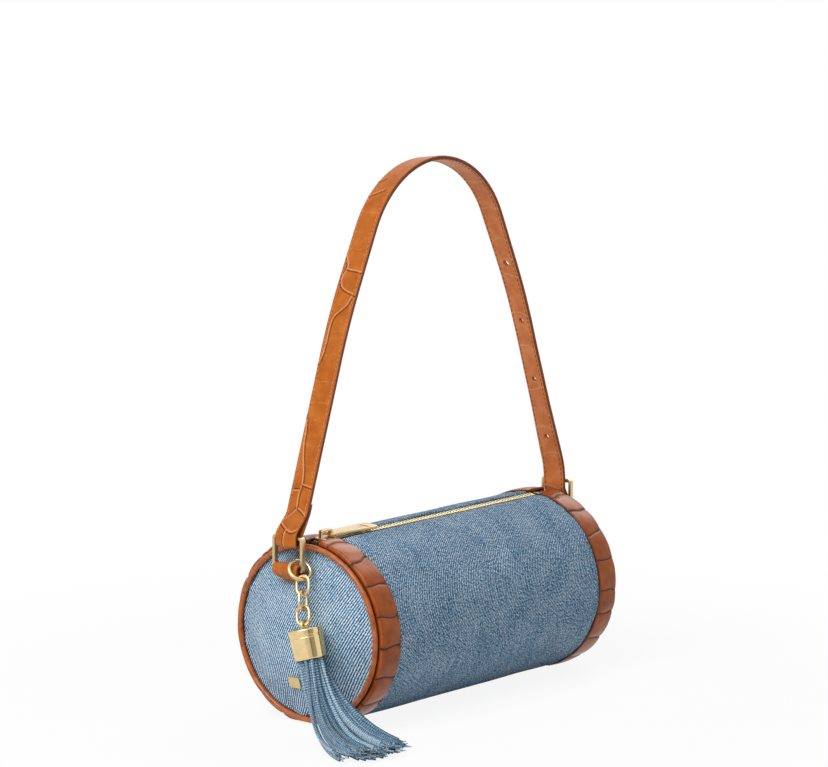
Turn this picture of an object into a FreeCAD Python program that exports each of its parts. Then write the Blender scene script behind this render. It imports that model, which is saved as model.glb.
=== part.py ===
import FreeCAD, Part
import os
from math import asin, atan2, cos, degrees, hypot, radians, sin, sqrt, tan

# Barrel bag: denim body, leather end bands, shoulder strap on a ring and a buckle, chain tassel.
# Millimetres. X runs along the barrel, -Y is the front, +Z is up.
# The origin is on the table, under the middle of the barrel.

# Barrel body
barrel_radius = 57.5
base_flat = 1.0
body_length = 239.0
denim = 1.6
lining_cloth = 0.8
lining_gap = 0.2
lining_mouth = 15.5
lining_notch = 4.0
seam_clearance = 0.3

# Leather bands round the two ends, and the piping on their rims
band_width = 18.0
band_leather = 1.4
band_raise = 0.5
piping_diameter = 3.4
piping_leather = 0.7
piping_inset = 3.6
cord_clearance = 0.05
seat_gap = 0.05

# End panels, which swell outwards between the piping
end_seam_inset = 5.3
end_flange_inset = 3.8
end_swell = 14.4

# Zip, which sits a little in front of the top
zip_roll = 4.0
zip_gap = 9.5
tape_width = 12.0
tape_thickness = 0.8
tape_edge = 1.5
tape_end_margin = 2.0
tooth_pitch = 3.0
tooth_length = 1.2
tooth_margin = 17.5
tooth_reach = 0.7
tooth_depth = 3.0
tooth_half_height = 1.3
tooth_head_half_height = 0.7
tooth_shoulder = 0.5
tape_slot_half_height = 0.55
stop_length = 1.2

# Slider and pull
slider_length = 12.0
slider_inset = 11.0
slider_half_width = 4.4
slider_nose_half_width = 3.2
slider_nose_length = 2.5
slider_plate = 1.2
slider_flange = 0.9
slider_clearance = 0.3
bridge_length = 10.4
bridge_width = 2.6
bridge_wall = 1.4
bridge_height = 5.2
pull_length = 43.5
pull_thickness = 1.6
pull_neck_half_width = 3.3
pull_end_half_width = 5.6
pull_bar = 1.5
pull_eye_length = 3.2
pull_eye_clearance = 0.4
pull_bar_clearance = 0.55
pull_droop = 1.0
pull_end_radius = 3.0
pull_slot_length = 7.0
pull_slot_width = 1.8
pull_slot_inset = 9.0

# Small plain plate on the left end panel
plate_width = 9.0
plate_height = 7.5
plate_thickness = 1.0
plate_corner = 1.0
plate_drop_angle = 17.2
plate_side_angle = 2.3

# Strap of two plies
strap_width = 16.5
strap_ply = 1.2
strap_rise = 240.9
strap_knee_share = 0.61768
strap_knee_inset = 45.16
strap_upper_lean = 25.5
strap_arch_shift = 2.0
knee_radius = 400.0
strap_foot_rise = 22.3
strap_leg_inset = 8.0
strap_leg_rise = 10.2
strap_bend_radius = 12.0
strap_lap_length = 24.5
strap_turn = 1.1
ply_gap = 0.05
strap_meet_rise = 1.5
strap_shoulder_drop = 2.0
lining_start_rise = 3.0
hole_diameter = 3.2
hole_share = 0.1731
hole_count = 4
first_hole_rise = 42.0

# Flat ring at the left end of the strap
ring_out = 12.5
ring_drop = 17.0
ring_window_width = 20.4
ring_height = 22.0
ring_bar = 1.9
ring_depth = 3.2
ring_corner = 2.4
strap_loop_slack = 0.5
strap_loop_drop = 4.0
tab_loop_slack = 1.4

# Tabs sewn on the end panels
tab_width = 19.6
tab_leather = 1.5
tab_drop = 30.5
tab_fold_height = 6.5
tab_shoulder_drop = 2.0
left_tab_drop = 24.5
left_tab_fold_height = 1.5
left_tab_shoulder_drop = 1.5
tab_clearance = 0.7
tab_ply_gap = 0.15
tab_corner = 6.0
tab_bend_radius = 1.2

# Buckle at the right end of the strap
buckle_out = 13.2
buckle_rise = 21.0
buckle_window_width = 20.4
buckle_bar = 1.9
buckle_depth = 2.6
buckle_bar_height = 2.2
heel_diameter = 2.6
heel_slack = 0.5
buckle_clearance = 0.4
prong_width = 2.4
prong_thickness = 1.6
prong_eye_clearance = 0.2
prong_eye_wall = 1.2
prong_bow = 0.9
prong_knee_rise = 7.5
prong_overlap = 3.0
prong_hole = 5.0
prong_slot = 3.6
prong_slot_drop = 4.0
buckle_bend_drop = 5.0
buckle_bend_rise = 4.0
tail_drop = 35.0
tail_tip_radius = 8.0
right_foot_rise = 29.0
keeper_leather = 1.2
keeper_height = 5.0
keeper_lift = 1.0
keeper_slack = 0.4

# Chain and tassel hung on the front side of the ring
hoop_radius = 6.8
hoop_wire = 2.1
hoop_turn = 26.0
hoop_tilt = 42.0
hoop_out = 2.6
hoop_seat = 1.5
link_length = 13.6
link_width = 10.6
link_wire = 2.0
link_play = 0.35
link_turn = 12.0
chain_lean = 16.5
tassel_tilt = 15.5
cap_radius = 10.8
cap_height = 18.4
cap_wall = 0.9
cap_groove_drop = 4.0
cap_groove_width = 1.0
cap_groove_depth = 0.4
bail_width = 8.0
bail_play = 0.05
bail_depth = 3.0
binding_height = 7.0
binding_clearance = 0.2
fringe_radius = 9.2
fringe_straight = 2.0
fringe_reach = 67.0
fringe_aside = 15.0
fringe_half_width = 28.0
fringe_half_depth = 3.6
fringe_end_height = 6.0
fringe_bend_depth = 9.0
fringe_bend_reach_share = 0.14
fringe_bend_aside_share = 0.2
fringe_bend_height_share = 0.56
fringe_bend_width_share = 0.47
fringe_bend_slope = 41.0
fringe_fall_depth = 7.5
fringe_fall_reach_share = 0.48
fringe_fall_aside_share = 0.62
fringe_fall_height_share = 0.27
fringe_fall_width_share = 0.73
fringe_fall_slope = 17.5
fringe_sides = 12

V = FreeCAD.Vector
ALONG = V(1, 0, 0)
ACROSS = V(0, 1, 0)
UP = V(0, 0, 1)

# Places that follow from the sizes above
half_body = body_length / 2
axis_height = barrel_radius - base_flat
barrel_top = axis_height + barrel_radius
piping_ring_radius = barrel_radius - piping_inset
end_seam_radius = barrel_radius - end_seam_inset
end_flange_radius = barrel_radius - end_flange_inset
tooth_count = int((body_length - 2 * tooth_margin) / tooth_pitch + 0.001)
slider_rest_x = slider_inset - half_body
ring_x = half_body + ring_out
ring_foot_z = barrel_top - ring_drop
buckle_x = half_body + buckle_out
buckle_top_z = ring_foot_z + buckle_rise
tab_foot_z = barrel_top - tab_drop
left_tab_foot_z = barrel_top - left_tab_drop
keeper_foot_z = tab_foot_z + keeper_lift
strap_top = ring_foot_z + strap_rise
strap_knee_x = ring_x - strap_knee_inset
strap_knee_z = ring_foot_z + strap_rise * strap_knee_share
strap_foot_z = ring_foot_z + strap_foot_rise
right_foot_z = ring_foot_z + right_foot_rise
tail_foot_z = ring_foot_z - tail_drop
hole_pitch = strap_rise * hole_share
band_start = half_body - band_width
band_step = band_leather - band_raise
lip_start = half_body - band_leather
barrel_axis = V(0, 0, axis_height)


def block(x0, x1, y0, y1, z0, z1):
    return Part.makeBox(x1 - x0, y1 - y0, z1 - z0, V(x0, y0, z0))


def bar_along_x(radius, floor, x0, x1):
    # round bar on the barrel's axis, flat underneath at the height floor
    bar = Part.makeCylinder(radius, x1 - x0, V(x0, 0, axis_height), ALONG)
    return bar.cut(block(x0 - 1, x1 + 1, -radius, radius, axis_height - radius - 1, floor))


def barrel_shell(radius, floor, wall, x0, x1):
    return bar_along_x(radius, floor, x0, x1).cut(bar_along_x(radius - wall, floor + wall, x0 - 1, x1 + 1))


def mirror_end(shape):
    return shape.mirror(V(0, 0, 0), ALONG)


def rolled(shape):
    # turn a piece drawn at the very top to the place of the zip
    return shape.rotated(barrel_axis, ALONG, zip_roll)


def zip_cutter(half_width, x0, x1, root=0):
    # slot at the zip, open upwards from a distance root off the axis
    top = axis_height + 2 * barrel_radius
    return rolled(block(x0, x1, -half_width, half_width, axis_height + root, top))


def route_edges(points, radii, offset, y):
    # edges of a bent line in the XZ plane, moved sideways to its left by offset
    ways = []
    for (xa, za), (xb, zb) in zip(points, points[1:]):
        run = hypot(xb - xa, zb - za)
        ways.append(((xb - xa) / run, (zb - za) / run))
    corners = []
    for i, (x, z) in enumerate(points):
        ux, uz = ways[max(i - 1, 0)]
        wx, wz = ways[min(i, len(ways) - 1)]
        share = offset / (1 + ux * wx + uz * wz)
        corners.append((x - (uz + wz) * share, z + (ux + wx) * share))
    edges = []
    start = V(corners[0][0], y, corners[0][1])
    for i, radius in enumerate(radii, 1):
        ux, uz = ways[i - 1]
        wx, wz = ways[i]
        cross = ux * wz - uz * wx
        if abs(cross) < 1e-6:
            continue
        turn = atan2(abs(cross), ux * wx + uz * wz)
        bend = radius - offset if cross > 0 else radius + offset
        back = bend * tan(turn / 2)
        x, z = corners[i]
        enter = V(x - ux * back, y, z - uz * back)
        leave = V(x + wx * back, y, z + wz * back)
        inward = V(wx - ux, 0, wz - uz).normalize()
        middle = V(x, y, z) + inward * (bend / cos(turn / 2) - bend)
        edges.append(Part.LineSegment(start, enter).toShape())
        edges.append(Part.Arc(enter, middle, leave).toShape())
        start = leave
    end = V(corners[-1][0], y, corners[-1][1])
    edges.append(Part.LineSegment(start, end).toShape())
    return edges, V(corners[0][0], y, corners[0][1]), end


def ribbon(points, radii, low, high, width):
    # flat strip that follows the route, between two offsets, centred on Y
    y = -width / 2
    left, left_start, left_end = route_edges(points, radii, high, y)
    right, right_start, right_end = route_edges(points, radii, low, y)
    tip = Part.LineSegment(left_end, right_end).toShape()
    root = Part.LineSegment(right_start, left_start).toShape()
    outline = Part.Wire(left + [tip] + right[::-1] + [root])
    return Part.Face(outline).extrude(ACROSS * width)


def edges_where(shape, test):
    return [edge for edge in shape.Edges if test(edge)]


def runs_along(edge, way):
    ends = edge.Vertexes
    if len(ends) < 2:
        return False
    span = ends[1].Point - ends[0].Point
    return abs(span.dot(way)) > 0.999 * span.Length


def revolved(points, centre, way):
    face = Part.Face(Part.makePolygon(points + points[:1]))
    return face.revolve(centre, way, 360)


# Barrel body


def barrel_panel():
    middle = barrel_shell(barrel_radius, 0, denim, -band_start, band_start)
    middle = middle.cut(zip_cutter(zip_gap / 2, -half_body, half_body))
    reach = tape_edge + tape_width + seam_clearance
    under = barrel_radius - band_step
    hem = barrel_shell(under, band_step, denim, band_start - 2 * denim, lip_start)
    hem = hem.cut(zip_cutter(reach, 0, half_body))
    return middle.fuse([hem, mirror_end(hem)]).removeSplitter()


lining_radius = barrel_radius - band_step - denim - lining_gap
lining_half = lip_start - denim - seam_clearance


def lining():
    floor = barrel_radius - lining_radius
    outer = bar_along_x(lining_radius, floor, -lining_half, lining_half)
    inside = lining_half - lining_cloth
    inner = bar_along_x(lining_radius - lining_cloth, floor + lining_cloth, -inside, inside)
    mouth = zip_cutter(lining_mouth / 2, -body_length, body_length, lining_radius - lining_notch)
    return outer.cut(inner).cut(mouth)


def band():
    outer = barrel_radius + band_raise
    inner = barrel_radius - band_step
    hoop = bar_along_x(outer, 0, band_start, half_body)
    hoop = hoop.cut(bar_along_x(inner, band_step, band_start - 1, lip_start))
    hoop = hoop.cut(zip_cutter(zip_gap / 2, band_start - 1, lip_start))
    hole = Part.makeCylinder(end_seam_radius, body_length, V(0, 0, axis_height), ALONG)
    return hoop.cut(hole)


piping_x = half_body + piping_diameter / 2 + seat_gap


def piping():
    where = V(piping_x, 0, axis_height)
    whole = Part.makeTorus(piping_ring_radius, piping_diameter / 2, where, ALONG)
    bore = Part.makeTorus(piping_ring_radius, piping_diameter / 2 - piping_leather, where, ALONG)
    return whole.cut(bore)


def piping_cord():
    radius = piping_diameter / 2 - piping_leather - cord_clearance
    return Part.makeTorus(piping_ring_radius, radius, V(piping_x, 0, axis_height), ALONG)


swell_base = end_seam_radius - seam_clearance
swell_radius = (swell_base ** 2 + end_swell ** 2) / (2 * end_swell)
swell_centre = lip_start + end_swell - swell_radius


def swell_x(rise):
    # how far out the end panel stands at a height above or below the axis
    return swell_centre + sqrt(swell_radius ** 2 - rise ** 2)


def end_panel():
    inner = swell_radius - denim
    foot = lip_start - denim
    inner_base = sqrt(inner ** 2 - (foot - swell_centre) ** 2)
    outer_half = swell_base / 2
    inner_half = inner_base / 2

    def at(x, rise):
        return V(x, 0, axis_height + rise)

    def inner_x(rise):
        return swell_centre + sqrt(inner ** 2 - rise ** 2)

    edges = [
        Part.Arc(at(foot, inner_base), at(inner_x(inner_half), inner_half), at(inner_x(0), 0)),
        Part.LineSegment(at(inner_x(0), 0), at(swell_x(0), 0)),
        Part.Arc(at(swell_x(0), 0), at(swell_x(outer_half), outer_half), at(lip_start, swell_base)),
        Part.LineSegment(at(lip_start, swell_base), at(lip_start, end_flange_radius)),
        Part.LineSegment(at(lip_start, end_flange_radius), at(foot, end_flange_radius)),
        Part.LineSegment(at(foot, end_flange_radius), at(foot, inner_base)),
    ]
    face = Part.Face(Part.Wire([edge.toShape() for edge in edges]))
    return face.revolve(barrel_axis, ALONG, 360)


def end_plate():
    x = -swell_x(0)
    plate = block(x - plate_thickness, x, -plate_width / 2, plate_width / 2,
                  axis_height - plate_height / 2, axis_height + plate_height / 2)
    plate = plate.makeFillet(plate_corner, edges_where(plate, lambda edge: runs_along(edge, ALONG)))
    centre = V(-swell_centre, 0, axis_height)
    plate = plate.rotated(centre, ACROSS, -plate_drop_angle)
    return plate.rotated(centre, UP, -plate_side_angle)


# Zip

zip_z = axis_height + barrel_radius - denim - tape_thickness / 2
tape_half_length = lip_start - tape_end_margin / 2
chain_start = -(tooth_count * tooth_pitch) / 2


def zipper_tape(side):
    outer = zip_z - axis_height + tape_thickness / 2
    shell = Part.makeCylinder(outer, 2 * tape_half_length, V(-tape_half_length, 0, axis_height), ALONG)
    bore = Part.makeCylinder(outer - tape_thickness, 4 * tape_half_length,
                             V(-2 * tape_half_length, 0, axis_height), ALONG)
    near, far = sorted((side * tape_edge, side * (tape_edge + tape_width)))
    strip = block(-tape_half_length, tape_half_length, near, far, axis_height, axis_height + barrel_radius)
    return rolled(shell.cut(bore).common(strip))


def tooth_outline(side, x, reach, head):
    # clamp section: a head that reaches past the middle, and two legs that grip the tape
    half = [
        (-reach, head),
        (tooth_shoulder, tooth_half_height),
        (tooth_depth, tooth_half_height),
        (tooth_depth, tape_slot_half_height),
        (tape_edge - seat_gap, tape_slot_half_height),
    ]
    loop = half + [(y, -z) for y, z in half[::-1]]
    points = [V(x, side * y, zip_z + z) for y, z in loop]
    return Part.Face(Part.makePolygon(points + points[:1]))


def zipper_teeth(side):
    lag = tooth_pitch / 2 if side > 0 else 0
    first = tooth_outline(side, chain_start + lag, tooth_reach, tooth_head_half_height)
    tooth = first.extrude(ALONG * tooth_length)
    row = [tooth.translated(ALONG * (tooth_pitch * i)) for i in range(tooth_count)]
    return rolled(Part.makeCompound(row))


def zipper_stops():
    near_x = slider_rest_x - slider_length / 2 - seam_clearance - stop_length
    far_x = chain_start + tooth_count * tooth_pitch + tooth_pitch
    tops = [tooth_outline(side, near_x, -seam_clearance, tooth_half_height).extrude(ALONG * stop_length)
            for side in (-1, 1)]
    halves = [tooth_outline(side, far_x, 0, tooth_half_height).extrude(ALONG * stop_length)
              for side in (-1, 1)]
    return rolled(Part.makeCompound(tops + [halves[0].fuse(halves[1]).removeSplitter()]))


def slider_half(sense):
    # upper half for sense 1, lower half for sense -1: a shield plate with a flange down each side
    x0 = slider_rest_x - slider_length / 2
    x1 = slider_rest_x + slider_length / 2
    side = [(x0, slider_nose_half_width), (x0 + slider_nose_length, slider_half_width),
            (x1 - slider_nose_length, slider_half_width), (x1, slider_nose_half_width + slider_flange)]
    loop = side + [(x, -y) for x, y in side[::-1]]
    inner = zip_z + sense * (tooth_half_height + slider_clearance)
    foot = zip_z + sense * (tape_thickness / 2 + slider_clearance)
    points = [V(x, y, inner) for x, y in loop]
    plate = Part.Face(Part.makePolygon(points + points[:1])).extrude(UP * (sense * slider_plate))
    low, high = sorted((inner, foot))
    flange_x0 = x0 + slider_nose_length
    flange_x1 = x1 - slider_nose_length
    flanges = [block(flange_x0, flange_x1, y, y + slider_flange, low, high)
               for y in (-slider_half_width, slider_half_width - slider_flange)]
    return plate.fuse(flanges).removeSplitter()


bridge_foot = zip_z + tooth_half_height + slider_clearance + slider_plate
pull_hinge_x = slider_rest_x + bridge_length / 2 - bridge_wall - pull_bar_clearance - pull_bar / 2
pull_hinge_z = bridge_foot + (bridge_height - bridge_wall) / 2


def zipper_slider():
    half = bridge_length / 2
    bridge = block(slider_rest_x - half, slider_rest_x + half, -bridge_width / 2, bridge_width / 2,
                   bridge_foot, bridge_foot + bridge_height)
    bridge_middle = bridge_foot + bridge_height / 2
    crown = edges_where(bridge, lambda edge: runs_along(edge, ACROSS) and edge.CenterOfMass.z > bridge_middle)
    bridge = bridge.makeFillet(bridge_wall, crown)
    window = block(slider_rest_x - half + bridge_wall, slider_rest_x + half - bridge_wall,
                   -bridge_width, bridge_width, bridge_foot, bridge_foot + bridge_height - bridge_wall)
    upper = slider_half(1).fuse(bridge.cut(window)).removeSplitter()
    return rolled(Part.makeCompound([upper, slider_half(-1)]))


def zipper_pull():
    root = pull_hinge_x - pull_bar / 2
    tip = root + pull_length
    z = pull_hinge_z - pull_thickness / 2
    outline = [(root, pull_neck_half_width), (tip, pull_end_half_width)]
    loop = outline + [(x, -y) for x, y in outline[::-1]]
    points = [V(x, y, z) for x, y in loop]
    plate = Part.Face(Part.makePolygon(points + points[:1])).extrude(UP * pull_thickness)
    ends = edges_where(plate, lambda edge: runs_along(edge, UP) and edge.CenterOfMass.x > tip - 1)
    plate = plate.makeFillet(pull_end_radius, ends)
    eye_x = pull_hinge_x + pull_bar / 2
    eye_half = bridge_width / 2 + pull_eye_clearance
    eye = block(eye_x, eye_x + pull_eye_length, -eye_half, eye_half, z - 1, z + pull_thickness + 1)
    slot_x = tip - pull_slot_inset
    slot = block(slot_x, slot_x + pull_slot_width, -pull_slot_length / 2, pull_slot_length / 2,
                 z - 1, z + pull_thickness + 1)
    slot = slot.makeFillet(pull_slot_width * 0.45, edges_where(slot, lambda edge: runs_along(edge, UP)))
    plate = plate.cut(eye).cut(slot)
    return rolled(plate.rotated(V(pull_hinge_x, 0, pull_hinge_z), ACROSS, pull_droop))


# Strap, ring, tabs and buckle

ring_top_z = ring_foot_z + ring_height - ring_bar
loop_half = ring_depth / 2 + strap_loop_slack
loop_foot = ring_top_z - ring_bar / 2 - strap_loop_drop
apex_z = strap_knee_z + strap_knee_x / tan(radians(strap_upper_lean))
arch_radius = (apex_z - strap_top) / (1 / sin(radians(strap_upper_lean)) - 1)
left_foot = (-ring_x - loop_half, strap_foot_z)
left_bend = (strap_leg_inset - ring_x, strap_foot_z + strap_leg_rise)
left_knee = (strap_arch_shift - strap_knee_x, strap_knee_z)
right_knee = (strap_arch_shift + strap_knee_x, strap_knee_z)
right_line = buckle_x - buckle_depth / 2 - buckle_clearance - strap_ply
keeper_back = swell_x(tab_foot_z - axis_height) + tab_clearance + 2 * tab_leather + tab_ply_gap + seat_gap
tail_line = max(buckle_x + heel_diameter / 2 + heel_slack + tab_leather + buckle_clearance,
                keeper_back + keeper_leather + seat_gap) + strap_ply
right_foot = (right_line, right_foot_z)
bend_in = (right_line, buckle_top_z - buckle_bend_drop)
bend_out = (tail_line, ring_foot_z + buckle_bend_rise)
tail_end = (tail_line, tail_foot_z)
arch_points = [left_bend, left_knee, (strap_arch_shift, apex_z), right_knee, right_foot, bend_in, bend_out,
               tail_end]
arch_radii = [knee_radius, arch_radius, knee_radius, strap_bend_radius * 4, strap_bend_radius / 2,
              strap_bend_radius / 2]
leg_run = hypot(left_knee[0] - left_bend[0], left_knee[1] - left_bend[1])
leg_way = ((left_knee[0] - left_bend[0]) / leg_run, (left_knee[1] - left_bend[1]) / leg_run)
bend_run = hypot(bend_out[0] - bend_in[0], bend_out[1] - bend_in[1])
bend_middle = ((bend_in[0] + bend_out[0]) / 2, (bend_in[1] + bend_out[1]) / 2)

heel_z = ring_foot_z
prong_knee = (buckle_x - prong_bow, heel_z + prong_knee_rise)
prong_rest_x = buckle_x + buckle_depth / 2 + buckle_clearance + prong_thickness / 2
prong_over = (prong_rest_x, buckle_top_z - prong_overlap)
prong_tip = (prong_rest_x, buckle_top_z + prong_overlap)
prong_way = V(prong_over[0] - prong_knee[0], 0, prong_over[1] - prong_knee[1]).normalize()


def prong_hole_cutter():
    start = V(prong_knee[0], 0, prong_knee[1])
    return Part.makeCylinder(prong_hole / 2, 4 * prong_hole, start - prong_way * (2 * prong_hole), prong_way)


def strap_holes():
    # round holes up the right leg, square to the strap
    run = hypot(right_knee[0] - right_foot[0], right_knee[1] - right_foot[1])
    up = V((right_knee[0] - right_foot[0]) / run, 0, (right_knee[1] - right_foot[1]) / run)
    normal = V(up.z, 0, -up.x)
    holes = []
    for i in range(hole_count):
        rise = first_hole_rise + hole_pitch * i - (right_foot_z - bend_middle[1])
        where = V(right_foot[0], 0, right_foot[1]) + up * rise
        start = where - normal * strap_width
        holes.append(Part.makeCylinder(hole_diameter / 2, 2 * strap_width, start, normal))
    return holes


def rounded_tail(ply):
    ends = edges_where(ply, lambda edge: runs_along(edge, ALONG) and edge.CenterOfMass.z < tail_foot_z + 0.5)
    return ply.makeFillet(tail_tip_radius, ends)


def strap_outer():
    # the outer ply goes under the ring's top bar and comes back up inside as the lap
    inner_x = -ring_x + loop_half
    lap_z = loop_foot + strap_lap_length
    shift = strap_ply + ply_gap
    meet_z = left_bend[1] + strap_meet_rise

    def inside_leg(z):
        along = (z - left_bend[1]) / leg_way[1]
        return left_bend[0] + leg_way[0] * along + shift / leg_way[1]

    shoulder_z = strap_foot_z - strap_shoulder_drop
    points = [(inside_leg(lap_z), lap_z), (inside_leg(meet_z), meet_z), (inner_x, shoulder_z),
              (inner_x, loop_foot), (left_foot[0], loop_foot), left_foot] + arch_points
    corner = loop_half * 0.45
    radii = [strap_bend_radius / 3, strap_bend_radius / 3, corner, corner, strap_bend_radius / 2,
             strap_bend_radius] + arch_radii
    ply = ribbon(points, radii, 0, strap_ply, strap_width)
    ply = ply.cut(strap_holes() + [prong_hole_cutter()])
    return rounded_tail(ply)


def strap_lining():
    start_z = left_bend[1] + lining_start_rise
    along = (start_z - left_bend[1]) / leg_way[1]
    start = (left_bend[0] + leg_way[0] * along, start_z)
    points = [start] + arch_points[1:]
    ply = ribbon(points, arch_radii, -strap_ply, -ply_gap / 2, strap_width)
    ply = ply.cut(strap_holes() + [prong_hole_cutter()])
    return rounded_tail(ply)


def flat_frame(x, depth, window_width, side, foot_z, top_z, bar_height, corner):
    # upright frame across X, with round outer corners
    half = window_width / 2
    outer = block(x - depth / 2, x + depth / 2, -half - side, half + side,
                  foot_z - bar_height / 2, top_z + bar_height / 2)
    outer = outer.makeFillet(corner, edges_where(outer, lambda edge: runs_along(edge, ALONG)))
    window = block(x - depth, x + depth, -half, half, foot_z + bar_height / 2, top_z - bar_height / 2)
    return outer.cut(window)


def strap_ring():
    return flat_frame(-ring_x, ring_depth, ring_window_width, ring_bar, ring_foot_z, ring_top_z,
                      ring_bar, ring_corner)


def buckle_frame():
    frame = flat_frame(buckle_x, buckle_depth, buckle_window_width, buckle_bar, heel_z, buckle_top_z,
                       buckle_bar_height, ring_corner)
    half = buckle_window_width / 2
    sill = block(buckle_x - buckle_depth, buckle_x + buckle_depth, -half, half,
                 heel_z - buckle_bar_height, heel_z + buckle_bar_height)
    heel = Part.makeCylinder(heel_diameter / 2, buckle_window_width + buckle_bar,
                             V(buckle_x, -half - buckle_bar / 2, heel_z), ACROSS)
    return frame.cut(sill).fuse(heel).removeSplitter()


def buckle_prong():
    eye_bore = heel_diameter / 2 + prong_eye_clearance
    eye_outer = eye_bore + prong_eye_wall
    y = -prong_width / 2
    heel = V(buckle_x, y, heel_z)
    eye = Part.makeCylinder(eye_outer, prong_width, heel, ACROSS)
    root = (buckle_x - prong_bow * 0.6, heel_z + eye_bore + prong_eye_wall / 3)
    points = [root, prong_knee, prong_over, prong_tip]
    radii = [strap_bend_radius / 3, strap_bend_radius / 3]
    tongue = ribbon(points, radii, -prong_thickness / 2, prong_thickness / 2, prong_width)
    whole = eye.fuse(tongue)
    return whole.cut(Part.makeCylinder(eye_bore, prong_width, heel, ACROSS)).removeSplitter()


def tab(bar_x, half_width, half_height, foot_z, fold_height, shoulder_drop):
    # strip that goes up the end panel, over a bar and down again, drawn for the right end
    thick = tab_leather / 2
    inner_x = bar_x - half_width - thick
    outer_x = bar_x + half_width + thick
    crown = ring_foot_z + half_height + thick
    bend_z = foot_z + fold_height
    shoulder_z = ring_foot_z - shoulder_drop
    foot_x = swell_x(foot_z - axis_height) + tab_clearance + thick
    waist_x = min(swell_x(bend_z - axis_height) + tab_clearance + thick, foot_x)
    apart = tab_leather + tab_ply_gap
    points = [(foot_x, foot_z), (max(waist_x, inner_x), bend_z), (inner_x, shoulder_z),
              (inner_x, crown), (outer_x, crown), (outer_x, shoulder_z),
              (foot_x + apart, bend_z), (foot_x + apart, foot_z)]
    corner = half_width * 0.8
    radii = [tab_bend_radius, tab_bend_radius, corner, corner, tab_bend_radius, tab_bend_radius]
    strip = ribbon(points, radii, -thick, thick, tab_width)
    half = tab_width / 2
    plate = block(bar_x - tab_width, bar_x + tab_width, -half, half, foot_z, crown + tab_width)
    feet = edges_where(plate, lambda edge: runs_along(edge, ALONG) and edge.CenterOfMass.z < foot_z + 0.1)
    return strip.common(plate.makeFillet(tab_corner, feet))


def left_tab():
    return mirror_end(tab(ring_x, ring_depth / 2 + tab_loop_slack, ring_bar / 2 + tab_loop_slack,
                          left_tab_foot_z, left_tab_fold_height, left_tab_shoulder_drop))


def right_tab():
    heel = heel_diameter / 2
    strip = tab(buckle_x, heel + heel_slack, heel + heel_slack, tab_foot_z, tab_fold_height,
                tab_shoulder_drop)
    gap = prong_slot / 2
    fork = block(buckle_x - tab_width, buckle_x + tab_width, -gap, gap,
                 ring_foot_z - prong_slot_drop, ring_foot_z + tab_width)
    return strip.cut(fork)


def strap_keeper():
    inside = keeper_back + keeper_leather
    front = tail_line + strap_ply + keeper_slack
    half = strap_width / 2 + keeper_slack
    top = keeper_foot_z + keeper_height
    outer = block(keeper_back, front + keeper_leather, -half - keeper_leather, half + keeper_leather,
                  keeper_foot_z, top)
    return outer.cut(block(inside, front, -half, half, keeper_foot_z - 1, top + 1))


# Chain and tassel

turn = radians(hoop_turn)
tilt = radians(hoop_tilt)
hoop_side = V(cos(turn), -sin(turn), 0)
hoop_front = V(-sin(turn), -cos(turn), 0)
hoop_up = hoop_front * -sin(tilt) + UP * cos(tilt)
hoop_normal = hoop_front * cos(tilt) + UP * sin(tilt)
front_bar_y = -(ring_window_width + ring_bar) / 2
tab_crown = ring_foot_z + ring_bar / 2 + tab_loop_slack + tab_leather
hoop_z = tab_crown + hoop_seat + hoop_wire / 2 - hoop_radius * cos(tilt)
hoop_centre = V(-ring_x - hoop_out, front_bar_y, hoop_z)
hoop_pivot = hoop_centre + hoop_up * hoop_radius
hoop_foot = hoop_centre - hoop_up * hoop_radius
lean = radians(chain_lean)
chain_down = V(-sin(lean), 0, -cos(lean))
link_step = link_length - 2 * link_wire - link_play
link_1_centre = hoop_foot + chain_down * (link_length / 2 - hoop_wire / 2 - link_play - link_wire)
link_centres = [link_1_centre + chain_down * (link_step * i) for i in range(3)]
link_bend = chain_down * (link_length / 2 - link_wire / 2)
link_pivots = [hoop_foot] + [centre + link_bend for centre in link_centres]
bail_bend = (bail_width - link_wire) / 2
bail_seat = link_pivots[3] - chain_down * (link_wire + link_play)
bail_centre = bail_seat - UP * bail_bend
cap_top = bail_centre.z - bail_depth / 2
cap_axis = V(bail_centre.x, bail_centre.y, 0)


def leaned(shape):
    # the chain and tassel lean to the front where they hang on the round ring
    return shape.rotated(hoop_foot, ALONG, -tassel_tilt)


def on_strap(shape):
    # the strap's line is turned a little about the buckle, so the ring end sits further back
    return shape.rotated(V(buckle_x, 0, 0), UP, -strap_turn)


def tassel_ring():
    return Part.makeTorus(hoop_radius, hoop_wire / 2, hoop_centre, hoop_normal)


def half_hoop(bend, wire, sense):
    disc = Part.Face(Part.Wire(Part.makeCircle(wire / 2, V(0, bend, 0), UP)))
    return disc.revolve(V(0, 0, 0), ALONG, sense * 180)


def wire_leg(bend, wire, side, z0, z1):
    return Part.makeCylinder(wire / 2, z1 - z0, V(0, side * bend, z0), UP)


def oval_link():
    # upright link in the YZ plane, centred on the origin
    bend = (link_width - link_wire) / 2
    half = (link_length - link_width) / 2
    legs = [wire_leg(bend, link_wire, side, -half, half) for side in (-1, 1)]
    top = half_hoop(bend, link_wire, 1).translated(UP * half)
    foot = half_hoop(bend, link_wire, -1).translated(UP * -half)
    return top.fuse(legs + [foot]).removeSplitter()


def chain_link(index):
    # the middle link is a quarter turn from its neighbours
    link = oval_link().rotated(V(0, 0, 0), UP, link_turn + 90 * (index % 2))
    link = link.rotated(V(0, 0, 0), ACROSS, chain_lean)
    return link.translated(link_centres[index])


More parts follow.
